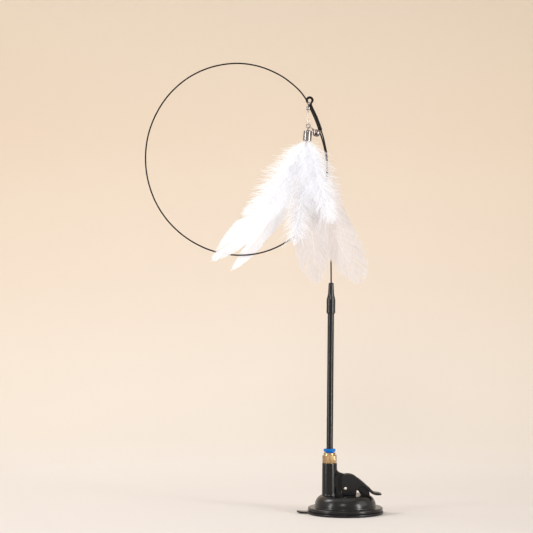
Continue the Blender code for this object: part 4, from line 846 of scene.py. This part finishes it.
def make_rod():
    """The tube and the boot on its top, both on the leaned wand."""
    turn = Matrix.Rotation(LEAN, 4, "Y")
    place = Matrix.Translation(WAND_PIVOT) @ turn @ Matrix.Translation((0, 0, -WAND_PIVOT.z))
    item = turned("rod_tube", ROD_PROFILE, 64, place, "rod", 25, closed=True)
    settle(item, None, "wand", ("wand_rod",))
    item = turned("boot_skin", BOOT_PROFILE, 72, place, "boot", 40, closed=True)
    settle(item, None, "wand", ("wire_boot",))


# Spring wire

# The upright rises this far and bows this much to the left
RISE = 114.3
BOW = 4.4
# The loop as angles from its right side, counter-clockwise, with the share of its radius at each
LOOP_RADIUS = 86.0
LOOP_SHARES = [
    (0.0, 0.972), (8.0, 0.956), (15.3, 0.947), (26.0, 0.950), (35.6, 0.969), (42.0, 0.992),
    (50.0, 1.004), (62.0, 1.015), (76.0, 1.023), (90.0, 1.025), (105.0, 1.019), (120.0, 1.010),
    (135.0, 0.997), (150.0, 0.984), (165.0, 0.976), (180.0, 0.972), (195.0, 0.974), (210.0, 0.982),
    (225.0, 0.993), (240.0, 1.006), (255.0, 1.022), (270.0, 1.037), (285.0, 1.047), (300.0, 1.047),
    (315.0, 1.040), (330.0, 1.022), (345.0, 0.995), (360.0, 0.975), (368.0, 0.965), (375.5, 0.961),
    (386.0, 0.965), (395.0, 0.981),
]
LOOP_X = FLEX.x / MM - BOW - LOOP_SHARES[0][1] * LOOP_RADIUS
LOOP_Z = FLEX.z / MM + RISE
# The loop comes forward by its depth until it ends in a small eye
LOOP_DEPTH = 9.0
EYE_ANGLE = 398.1
EYE_SHARE = 1.004
EYE_RADIUS = 2.6
EYE_START = -40
EYE_TURN = 302
SLEEVE_LENGTH = 29
# The upright's part of the rise, after which the loop's piece starts
UPRIGHT_SHARE = 0.3
ROUTE_POINTS = 1500


def polar(angle, share):
    """A point of the loop."""
    a = math.radians(angle)
    depth = -LOOP_DEPTH * (angle / EYE_ANGLE) ** 2.2
    reach = share * LOOP_RADIUS
    return Vector((LOOP_X + reach * math.cos(a), depth, LOOP_Z + reach * math.sin(a)))


def wire_route():
    """The wire's middle line: upright, loop and eye, evenly spaced."""
    start = FLEX / MM
    points = [start + Vector((-BOW * (i / 8) ** 2, 0, RISE * i / 8)) for i in range(8)]
    points += [polar(angle, share) for angle, share in LOOP_SHARES]
    eye = polar(EYE_ANGLE, EYE_SHARE)
    for x, z in arc_points((eye.x, eye.z), EYE_RADIUS, EYE_START, EYE_START + EYE_TURN, 13):
        points.append(Vector((x, eye.y, z)))
    return [p * MM for p in curve_through(points, ROUTE_POINTS)]


def make_wire(sizes):
    """The upright, the loop with its thicker eye, and the sleeve that wraps the loop's end."""
    route = wire_route()
    radius = sizes.wire_thickness / 2
    step = (route[1] - route[0]).length
    split = int(RISE * MM * UPRIGHT_SHARE / step)
    foot = FLEX - Vector((math.sin(LEAN), 0, math.cos(LEAN))) * (0.4 * MM)
    lower = [foot, *route[0 : split + 1 : 4]]
    item = new_mesh("wire_upright_line", *sweep(lower, radius, 12), MATERIALS["wire"])
    settle(item, None, None, ("wire_upright",))
    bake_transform(item)

    eye_length = EYE_RADIUS * MM * math.radians(EYE_TURN)
    curl = int(eye_length / step)
    upper = route[split : -curl - 4 : 4]
    radii = [radius] * len(upper)
    for i in range(-curl - 4, 0):
        grow = min((i + curl + 4) / (0.15 * curl), 1)
        upper.append(route[i])
        radii.append(radius + grow * (1.12 * MM - radius))
    item = new_mesh("wire_loop_line", *sweep(upper, radii, 14), MATERIALS["wire"])
    settle(item, None, None, ("wire_loop",))
    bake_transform(item)

    stop = len(route) - int((eye_length + 0.4 * MM) / step)
    line = route[stop - int(SLEEVE_LENGTH * MM / step) : stop : 3]
    radii = []
    for t in np.linspace(0, 1, len(line)).tolist():
        taper = min(t / 0.06, (1 - t) / 0.05, 1.0)
        radii.append((0.85 + 0.45 * math.sqrt(taper) + 0.04 * math.sin(31 * t)) * MM)
    item = new_mesh("eye_sleeve_skin", *sweep(line, radii, 20), MATERIALS["sleeve"])
    settle(item, None, "loop", ("eye_sleeve",))


# Swivel, rings, cap and bell

# Heights of these are counted from the hook's highest point
HOOK_STEM = [(0, -4.0), (0.42, -4.1), (0.42, -5.2), (0.95, -5.3), (0.98, -5.75), (0.6, -5.85), (0, -5.85)]
BARREL_PROFILE = [
    (0.72, -4.7), (1.2, -4.72), (1.55, -4.9), (1.8, -5.25), (1.9, -5.7), (1.9, -6.1),
    (1.72, -6.25), (1.72, -6.65), (1.9, -6.8), (1.9, -7.3), (1.8, -7.75), (1.55, -8.1),
    (1.2, -8.28), (0.72, -8.3), (0.72, -7.8), (1.3, -7.7), (1.3, -5.3), (0.72, -5.2),
]
SNAP_BOW = [
    (0.0, -8.6), (0.05, -9.3), (-0.5, -9.9), (-1.15, -10.8), (-1.3, -12.5), (-1.3, -18.5),
    (-1.25, -20.2), (-0.75, -21.2), (0.0, -21.55), (0.75, -21.2), (1.2, -20.3), (1.25, -18.8),
    (0.95, -17.6), (0.9, -16.6),
]
SNAP_GATE = [(1.28, -16.2), (1.35, -14.0), (1.3, -12.0), (0.9, -10.6), (0.35, -9.8), (-0.1, -9.3)]
SNAP_CLASP = [(1.175, -15.3), (1.175, -16.9)]
SNAP_STEM = [
    (0, -7.2), (0.9, -7.25), (0.95, -7.6), (0.45, -7.75), (0.42, -8.9), (0.75, -9.2), (0.7, -9.6),
    (0, -9.75),
]
SPLIT_RING_RADIUS = 2.1
SPLIT_RING_HEIGHT = -22.7
SPLIT_RING_WIDTH = 0.62
# The cap's heights are counted from the bail's top
CAP_TOP = -23.7
CAP_TILT = 5
CROWN = -2.975
RIM = CROWN - 9.8
CAP_PROFILE = [
    (0, CROWN), (1.6, CROWN), (2.7, CROWN - 0.06), (3.4, CROWN - 0.3), (3.8, CROWN - 0.75),
    (3.95, CROWN - 1.4), (3.95, CROWN - 2.2), (3.78, CROWN - 2.4), (3.78, CROWN - 2.7),
    (3.95, CROWN - 2.9), (3.95, RIM + 1.5), (3.8, RIM + 1.3), (3.8, RIM + 1.05), (3.95, RIM + 0.85),
    (4.0, RIM + 0.15), (3.9, RIM), (3.6, RIM), (3.45, RIM + 0.2), (3.45, CROWN - 1.4), (0, CROWN - 1.4),
]
BAIL_FOOT = [(0, -2.6), (0.55, -2.65), (0.75, -2.9), (0.8, -3.1), (0, -3.2)]
BAIL_RADIUS = 1.4
BELL_RADIUS = 3.5
BELL_BAND = [(3.56, 0.3), (3.68, 0.2), (3.7, 0.0), (3.68, -0.2), (3.56, -0.3)]
BELL_LINK_RADIUS = 1.1


def at_toy(height):
    """A point straight below the hook's highest point."""
    return TOY + Vector((0, 0, height)) * MM


def ring_points(middle, radius, axis_a, axis_b, start=0, stop=360, count=32):
    """Points on part of a circle, or evenly all round it."""
    steps = count if stop - start == 360 else count - 1
    out = []
    for i in range(count):
        a = math.radians(start + (stop - start) * i / steps)
        out.append(middle + (axis_a * math.cos(a) + axis_b * math.sin(a)) * radius)
    return out


def make_swivel():
    """The hook in the wire's eye and the barrel that it turns in."""
    hook = ring_points(at_toy(-2.0), 2.0 * MM, Vector((0, 1, 0)), UP, -72, 252, 44)
    foot = at_toy(-4.6)
    aside = Vector((0, 0.25 * MM, 0))
    wire = sweep([foot + aside, *hook, foot - aside], 0.4 * MM, 12)
    place = Matrix.Translation(TOY)
    item = new_mesh("swivel_hook_wire", *merged(wire, lathe(HOOK_STEM, 24, place)), MATERIALS["steel"])
    settle(item, None, "swivel", ("swivel_hook",))
    item = turned("swivel_barrel_skin", BARREL_PROFILE, 48, place, "chrome", closed=True)
    settle(item, None, "swivel", ("swivel_barrel",))


def make_snap():
    """The snap link: a bent bow, a springy gate and the clasp that holds it shut."""
    side = heading(45)
    lines = []
    for keys in (SNAP_BOW, SNAP_GATE, SNAP_CLASP):
        lines.append([at_toy(z) + side * (x * MM) for x, z in keys])
    shapes = [
        sweep(curve_through(lines[0], 90), 0.33 * MM, 12),
        sweep(curve_through(lines[1], 40), 0.28 * MM, 12),
        sweep(lines[2], 0.55 * MM, 16, flat=0.75),
        lathe(SNAP_STEM, 24, Matrix.Translation(TOY)),
    ]
    item = new_mesh("snap_wire", *merged(*shapes), MATERIALS["steel"])
    settle(item, None, "snap", ("snap_link",))


def make_split_ring():
    """A coil of almost two turns between the snap link and the cap."""
    along = heading(-30)
    across = heading(60)
    turns = []
    for t in np.linspace(0, 1, 121).tolist():
        angle = math.radians(100 - 690 * t)
        offset = across * ((t - 0.5) * SPLIT_RING_WIDTH * MM)
        around = along * math.cos(angle) + UP * math.sin(angle)
        turns.append(at_toy(SPLIT_RING_HEIGHT) + around * (SPLIT_RING_RADIUS * MM) + offset)
    item = new_mesh("split_ring_coil", *sweep(turns, 0.34 * MM, 10), MATERIALS["dark_chrome"])
    settle(item, None, "ring", ("split_ring",))


def make_cap():
    """The cap that holds the feathers, with its bail."""
    place = Matrix.Translation(at_toy(CAP_TOP)) @ Matrix.Rotation(math.radians(CAP_TILT), 4, "Y")
    middle = Vector((0, 0, -BAIL_RADIUS)) * MM
    bail = ring_points(middle, BAIL_RADIUS * MM, heading(60), UP, -100, 260, 40)
    shapes = [
        lathe(CAP_PROFILE, 96, place),
        sweep([place @ p for p in bail], 0.35 * MM, 12, closed=True),
        lathe(BAIL_FOOT, 24, place),
    ]
    item = new_mesh("cap_skin", *merged(*shapes), MATERIALS["chrome"], 30)
    settle(item, None, "toy", ("feather_cap",))


def make_bell():
    """The bell: a link, an eyelet, and a banded shell with a slit between two round holes."""
    up = (BELL_HOLD - BELL).normalized()
    across = heading(60)
    across = (across - up * across.dot(up)).normalized()
    other = up.cross(across)
    turn = Matrix((across, other, up)).transposed()
    place = Matrix.Translation(BELL) @ turn.to_4x4()
    link_low = (BELL_HOLD - BELL).length / MM - BELL_RADIUS - 1.8
    line = arc_points((0, 0), BELL_LINK_RADIUS, 180, 0, 10)
    line += arc_points((0, -link_low), BELL_LINK_RADIUS, 0, -180, 10)
    wire = [BELL_HOLD + turn @ (Vector((x, 0, z)) * MM) for x, z in line]
    item = new_mesh("bell_link_wire", *sweep(wire, 0.3 * MM, 10, closed=True), MATERIALS["steel"])
    settle(item, None, "bell", ("bell_link",))
    upper = arc_points((0, 0), BELL_RADIUS, 90, 6, 16)
    lower = arc_points((0, 0), BELL_RADIUS, -6, -90, 16)
    shell = turned("bell_skin", [*upper, *BELL_BAND, *lower], 72, place, "dark_chrome", 40)
    hollow = turned("hollow", arc_points((0, 0), 3.1, 90, -90, 24), 48, place, "dark_chrome")
    cuts = [hollow, prism(rectangle(-3.9, 3.9, -4.2, -0.9), -0.4, 0.4, "XZ", place)]
    for x in (-3.1, 3.1):
        hole = place @ Matrix.Translation(Vector((x, 0, -0.95)) * MM) @ QUARTER_TURN
        cuts.append(turned("hole", drum(0.9, -0.9, 0.9), 24, hole, "chrome"))
    carve(shell, *[("DIFFERENCE", cut) for cut in cuts])
    smooth(shell, 35)
    settle(shell, "dark_chrome", "bell", ("bell_shell",))
    eyelet = ring_points(place @ (Vector((0, 0, 4.4)) * MM), 0.9 * MM, other, up)
    item = new_mesh("bell_eyelet_ring", *sweep(eyelet, 0.3 * MM, 12, closed=True), MATERIALS["chrome"])
    settle(item, None, "bell", ())


# Feathers

# Name, material, quill in the cap (x, y), tip (x, z), bend (x, z), half widths on the left and the right,
# lean to the back, share of the shaft that is tip, share of it with loose barbs, seed
FEATHERS = [
    ("back_left", "feather", (0.0, 2.4), (-69.3, -118.4), (-23.4, -72.8), (10, 10), 0.053, 0.9, 0.55, 3),
    ("right", "sheer", (1.3, 1.6), (51.0, -130.4), (4.5, -62.8), (19, 15), -0.010, 0.26, 0.4, 5),
    ("short_left", "feather", (-1.5, 0.8), (-40.0, -70.0), (-18.0, -33.0), (15, 14), -0.020, 0.5, 1.5, 7),
    ("centre", "sheer", (1.6, 0.0), (9.5, -131.4), (1.0, -66.0), (14, 17), -0.035, 0.3, 0.45, 11),
    ("middle", "feather", (0.0, -0.8), (-12.0, -95.0), (-3.0, -45.0), (15, 15), -0.050, 0.5, 1.3, 13),
    ("left", "feather", (-1.5, -1.6), (-86.9, -110.1), (-32.5, -69.0), (12, 16), -0.070, 0.75, 0.6, 17),
    ("short_right", "feather", (1.0, -2.4), (23.0, -76.0), (6.0, -36.0), (14, 14), -0.090, 0.5, 1.6, 19),
]
# Points of a shaft inside the cap and below it, and how far the quill goes in
QUILL_POINTS = 7
SHAFT_POINTS = 80
QUILL_DEPTH = 4.1
# Barbs that cling together, and places where a vane's edge is split
CLUSTER = 7
SPLITS = 6
DOWN_TAPER = [0.9, 1, 1, 0.95, 0.9, 0.8, 0.65, 0.45, 0.15]


def ribbons(centres, widths, sides):
    """Flat strips: middle lines (count, points, 3), widths (count, points), sides like the middle lines."""
    count, length, _ = centres.shape
    half = widths[:, :, None] * 0.5 * sides
    verts = np.stack([centres - half, centres + half], 2).reshape(-1, 3)
    index = np.arange(count * length).reshape(count, length) * 2
    a, b = index[:, :-1].ravel(), index[:, 1:].ravel()
    return verts, np.stack([a, a + 1, b + 1, b], 1)


def strips_mesh(name, parts, material):
    """One smooth object from several sets of strips."""
    verts = np.concatenate([v for v, _ in parts])
    starts = np.cumsum([0] + [len(v) for v, _ in parts[:-1]])
    faces = np.concatenate([f + s for (_, f), s in zip(parts, starts)])
    item = new_mesh(name, verts.tolist(), faces.tolist(), MATERIALS[material], 0)
    item.data.shade_smooth()
    return item


def unit(v):
    """Rows made one long."""
    return v / np.maximum(np.linalg.norm(v, axis=-1, keepdims=True), 1e-12)


def rachis(tip, bend, quill, lean):
    """The feather's shaft: straight out of the cap, then one long bend to the tip."""
    root = Vector((quill[0], QUILL_DEPTH))
    mouth = Vector((quill[0], 0))
    points = [root.lerp(mouth, i / QUILL_POINTS) for i in range(QUILL_POINTS)]
    for t in np.linspace(0, 1, SHAFT_POINTS).tolist():
        points.append(mouth * (1 - t) ** 2 + Vector(bend) * (2 * t * (1 - t)) + Vector(tip) * t**2)
    return [MOUTH + Vector((p.x, quill[1] - lean * min(p.y, 0), p.y)) * MM for p in points]


def vane_share(t, tip_share):
    """How wide a vane is along its shaft, as a share of its widest, with a tip that is rounded off."""
    rise = np.clip(t / 0.24, 0, 1) ** 0.6
    fall = np.sqrt(np.clip(1 - np.clip(1 - (1 - t) / tip_share, 0, 1) ** 2.2, 0, 1))
    return rise * fall


def make_vane(line, half_widths, tip_share, looseness, seed, sizes):
    """Barbs on both sides of one shaft: loose at its foot, then closing into a vane with a few splits."""
    rng = np.random.default_rng(seed)
    count = sizes.barbs
    shaft = np.array([list(p) for p in line])[QUILL_POINTS:]
    at = np.concatenate([[0], np.cumsum(np.linalg.norm(np.diff(shaft, axis=0), axis=1))])
    total = at[-1]
    at /= total

    def on_shaft(t):
        """Places at shares of the shaft's length, which may lie past its end."""
        inside = np.clip(t, 0, 1)
        place = np.stack([np.interp(inside, at, shaft[:, i]) for i in range(3)], -1)
        end = unit(shaft[-1] - shaft[-4])
        return place + end * (np.maximum(t - 1, 0) * total)[..., None]

    parts = []
    facing = np.array([0.0, -1.0, 0.0])
    t = np.linspace(0.03, 0.992, count)
    loose = np.clip((looseness - t) / 0.35, 0, 1)
    # From a barb's foot on the shaft to its end
    u = np.linspace(0, 1, 10)[None, :]
    for side, half in zip((-1, 1), half_widths):
        groups = np.repeat(rng.normal(0, 1, count // CLUSTER + 2), CLUSTER)[:count]
        broad = np.interp(t, np.linspace(0, 1, 10), rng.normal(0, 1, 10))
        wild = rng.normal(0, 1, count)
        split = np.zeros(count)
        for place in rng.uniform(0.5, 0.93, SPLITS):
            near = (t - place) / rng.uniform(0.03, 0.07)
            split += np.where((near > 0) & (near < 1), near, 0) * rng.uniform(0.06, 0.2)
        # How far each barb runs forward along the shaft and out from it
        forward = half * MM / total * (0.75 + 0.5 * t) * (1 + 0.1 * broad + (0.02 + 0.42 * loose) * wild)
        forward = np.minimum(forward, (1.015 - t) * (0.72 + 0.2 * rng.random(count)))
        noise = 0.03 * broad + 0.02 * groups * loose + (0.012 + 0.26 * loose) * rng.normal(0, 1, count)
        reach = half * MM * vane_share(t + forward, tip_share) * np.clip(1 + noise - split, 0.25, 1.6)
        reach = np.maximum(reach, 0.25 * MM)
        along = t[:, None] + forward[:, None] * u ** (1.0 + 0.35 * (1 - loose[:, None]))
        ahead = on_shaft(np.minimum(along + 0.02, 1)) - on_shaft(np.minimum(along, 1) - 0.02)
        out = unit(np.cross(unit(ahead), facing)) * side
        # Loose barbs wave, and all of them cup a little towards the front
        strong = (0.03 + 2.1 * loose[:, None]) * MM * u
        phase = rng.random((count, 1)) * math.tau
        wave = np.sin(u * (5 + 2.5 * wild[:, None]) + phase) * strong
        cup = (0.1 + 0.05 * broad + (0.01 + 0.5 * loose) * rng.normal(0, 1, count))[:, None]
        sideways = reach[:, None] * u ** 0.92 + 0.35 * wave
        lift = cup * u**2 * reach[:, None] * 0.6 + 0.8 * wave
        lift = lift + (0.05 * MM) * (np.arange(count) % 3 - 1)[:, None]
        centres = on_shaft(along) + out * sideways[..., None] + facing * lift[..., None]
        run = unit(np.gradient(centres, axis=1))
        tilt = (rng.normal(0, 1, count) * (0.1 + 0.35 * loose))[:, None, None]
        flat = unit(unit(np.cross(run, np.broadcast_to(facing, run.shape))) + tilt * facing)
        slant = reach / np.hypot(reach, forward * total)
        wide = np.maximum(total / count * slant * (2.3 - 1.2 * loose), (0.2 - 0.04 * loose) * MM)
        taper = 1.0 - (0.15 + 0.45 * loose[:, None]) * u**1.5
        taper[:, -1] *= 0.3
        parts.append(ribbons(centres, wide[:, None] * taper * sizes.barb_fullness, flat))
    return parts


def make_down(start, stop, count, length, seed):
    """Loose down: long soft barbs that leave a shaft in all directions and curl."""
    rng = np.random.default_rng(seed)
    start, stop = np.array(start), np.array(stop)
    t = rng.random(count) ** 0.9
    origin = start + (stop - start) * t[:, None] + rng.normal(0, 0.7 * MM, (count, 3))
    axis = unit(stop - start)
    turn = rng.random(count) * math.tau
    flat = np.stack([np.cos(turn), np.sin(turn) * 0.5, np.zeros(count)], 1)
    way = unit(flat + axis * (0.75 + 0.35 * rng.normal(0, 1, count))[:, None])
    size = length * MM * (0.45 + 0.55 * rng.random(count)) * np.hypot(flat[:, 0], flat[:, 1]).clip(0.35, 1)
    u = np.linspace(0, 1, len(DOWN_TAPER))[None, :, None]
    drop = axis[None, None, :] * u**2 * size[:, None, None] * 0.35
    centres = origin[:, None, :] + way[:, None, :] * u * size[:, None, None] + drop
    for k in range(3):
        phase = rng.random((count, 3))[:, None, :] * math.tau
        pitch = (5 + 4 * k + 2 * rng.random((count, 1, 1))) * u
        centres = centres + np.sin(pitch + phase) * u * (0.75 - 0.2 * k) * MM * 1.1
    run = unit(np.gradient(centres, axis=1))
    side = unit(np.cross(run, unit(rng.normal(0, 1, (count, 1, 3)))))
    widths = (0.24 * MM) * (0.7 + 0.6 * rng.random((count, 1))) * np.array(DOWN_TAPER)[None, :]
    return ribbons(centres, widths, side)


def make_feathers(sizes):
    """Every feather as a shaft, a vane and the down round its foot."""
    for short_name, material, quill, tip, bend, half, lean, tip_share, looseness, seed in FEATHERS:
        name = "feather_" + short_name
        line = rachis(tip, bend, quill, lean)
        radii = [max(0.5 * (1 - i / (len(line) - 1)) ** 0.8, 0.06) * MM for i in range(len(line))]
        shaft = new_mesh(name + "_shaft", *sweep(line, radii, 10), MATERIALS["quill"])
        settle(shaft, None, "toy", ())
        barbs = make_vane(line, half, tip_share, looseness, seed, sizes)
        vane = strips_mesh(name + "_vane", barbs, material)
        settle(vane, None, "toy", (name,))
        # Wholly loose feathers have longer down, and further along their shaft
        reach, length = (70, 22) if looseness > 1 else (36, 17)
        down = make_down(line[QUILL_POINTS - 1], line[QUILL_POINTS + reach], sizes.down, length, seed + 100)
        item = strips_mesh(name + "_down", [down], "feather")
        settle(item, None, "toy", ())


# Add-on


class WandSizes(bpy.types.PropertyGroup):
    """Sizes and colours that the pieces are made with."""

    camera_distance: bpy.props.FloatProperty(
        name="Camera distance", description="From the camera to the wand", default=1.757, unit="LENGTH"
    )
    camera_height: bpy.props.FloatProperty(
        name="Camera height", description="Above the floor", default=0.2282, unit="LENGTH"
    )
    camera_side: bpy.props.FloatProperty(
        name="Camera side", description="To the right of the wand's middle", default=0.0022, unit="LENGTH"
    )
    lens: bpy.props.FloatProperty(name="Lens", description="Focal length in millimetres", default=128.3)
    wire_thickness: bpy.props.FloatProperty(
        name="Wire thickness", description="Diameter of the spring wire", default=0.00135, unit="LENGTH"
    )
    barbs: bpy.props.IntProperty(
        name="Barbs", description="Barbs on each side of a feather", default=420, min=20
    )
    down: bpy.props.IntProperty(
        name="Down", description="Loose downy barbs on each feather", default=700, min=0
    )
    barb_fullness: bpy.props.FloatProperty(
        name="Barb fullness", description="Width of a barb against its spacing", default=1, min=0.2, max=2
    )
    plastic_colour: bpy.props.FloatVectorProperty(
        name="Plastic colour",
        description="Housing and lever",
        subtype="COLOR",
        default=(0.004, 0.004, 0.0046),
    )
    ring_colour: bpy.props.FloatVectorProperty(
        name="Ring colour", description="Release ring", subtype="COLOR", default=(0.001, 0.14, 0.5)
    )
    brass_colour: bpy.props.FloatVectorProperty(
        name="Brass colour", description="Push-in fitting", subtype="COLOR", default=(0.41, 0.275, 0.15)
    )
    floor_depth: bpy.props.FloatProperty(
        name="Floor depth", description="Flat floor behind the wand", default=0.22, unit="LENGTH"
    )
    sweep_bend: bpy.props.FloatProperty(
        name="Sweep bend", description="Radius of the paper's bend", default=0.4, unit="LENGTH"
    )
    fill_strength: bpy.props.FloatProperty(
        name="Fill strength", description="Even light from all round", default=0.15
    )
    key_power: bpy.props.FloatProperty(
        name="Key power", description="Softbox at the upper left", default=10.2
    )
    front_power: bpy.props.FloatProperty(
        name="Front power", description="Softbox over the camera", default=12.0
    )
    side_power: bpy.props.FloatProperty(name="Side power", description="Strips at the sides", default=4.3)
    top_power: bpy.props.FloatProperty(name="Top power", description="Wide light from above", default=4.0)
    back_power: bpy.props.FloatProperty(
        name="Paper power", description="Two lights on the paper", default=4.4
    )


class WandStage(bpy.types.Operator):
    """Makes the materials, the camera, the lights and the paper sweep"""

    bl_idname = "feather_wand.stage"
    bl_label = "Stage"

    def execute(self, context):
        sizes = context.scene.feather_wand
        make_materials(sizes)
        make_camera(sizes)
        make_world(sizes)
        make_paper(sizes)
        make_lamps(sizes)
        dress_nodes()
        return {"FINISHED"}


class WandBase(bpy.types.Operator):
    """Makes the suction pad, the housing and the cam lever"""

    bl_idname = "feather_wand.base"
    bl_label = "Cup and lever"

    def execute(self, context):
        make_pad()
        make_housing()
        make_lever()
        make_grip_ribs()
        make_pin_ends()
        return {"FINISHED"}


class WandFitting(bpy.types.Operator):
    """Makes the push-in fitting and its release ring"""

    bl_idname = "feather_wand.fitting"
    bl_label = "Fitting"

    def execute(self, context):
        make_fitting()
        make_collar()
        return {"FINISHED"}


class WandRod(bpy.types.Operator):
    """Makes the rod, the boot and the spring wire"""

    bl_idname = "feather_wand.rod"
    bl_label = "Rod and wire"

    def execute(self, context):
        make_rod()
        make_wire(context.scene.feather_wand)
        return {"FINISHED"}


class WandSwivel(bpy.types.Operator):
    """Makes the swivel, the rings, the cap and the bell"""

    bl_idname = "feather_wand.swivel"
    bl_label = "Swivel, cap and bell"

    def execute(self, context):
        make_swivel()
        make_snap()
        make_split_ring()
        make_cap()
        make_bell()
        return {"FINISHED"}


class WandFeathers(bpy.types.Operator):
    """Makes the feathers, barb by barb"""

    bl_idname = "feather_wand.feathers"
    bl_label = "Feathers"

    def execute(self, context):
        make_feathers(context.scene.feather_wand)
        return {"FINISHED"}


class WandPanel(bpy.types.Panel):
    """Sizes and buttons for the feather wand"""

    bl_idname = "VIEW3D_PT_feather_wand"
    bl_label = "Feather wand"
    bl_space_type = "VIEW_3D"
    bl_region_type = "UI"
    bl_category = "Feather wand"

    def draw(self, context):
        layout = self.layout
        sizes = context.scene.feather_wand
        for name in WandSizes.__annotations__:
            layout.prop(sizes, name)
        for operator in OPERATORS:
            layout.operator(operator.bl_idname)


OPERATORS = (WandStage, WandBase, WandFitting, WandRod, WandSwivel, WandFeathers)
CLASSES = (WandSizes, *OPERATORS, WandPanel)


def register():
    """Adds the sizes, the operators and the panel."""
    for item in CLASSES:
        bpy.utils.register_class(item)
    bpy.types.Scene.feather_wand = bpy.props.PointerProperty(type=WandSizes)


def unregister():
    """Takes them away again."""
    del bpy.types.Scene.feather_wand
    for item in reversed(CLASSES):
        bpy.utils.unregister_class(item)


def main():
    """Makes every piece."""
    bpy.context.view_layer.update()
    register()
    bpy.ops.feather_wand.stage()
    bpy.ops.feather_wand.base()
    bpy.ops.feather_wand.fitting()
    bpy.ops.feather_wand.rod()
    bpy.ops.feather_wand.swivel()
    bpy.ops.feather_wand.feathers()
    bpy.context.view_layer.update()


if __name__ == "__main__":
    main()
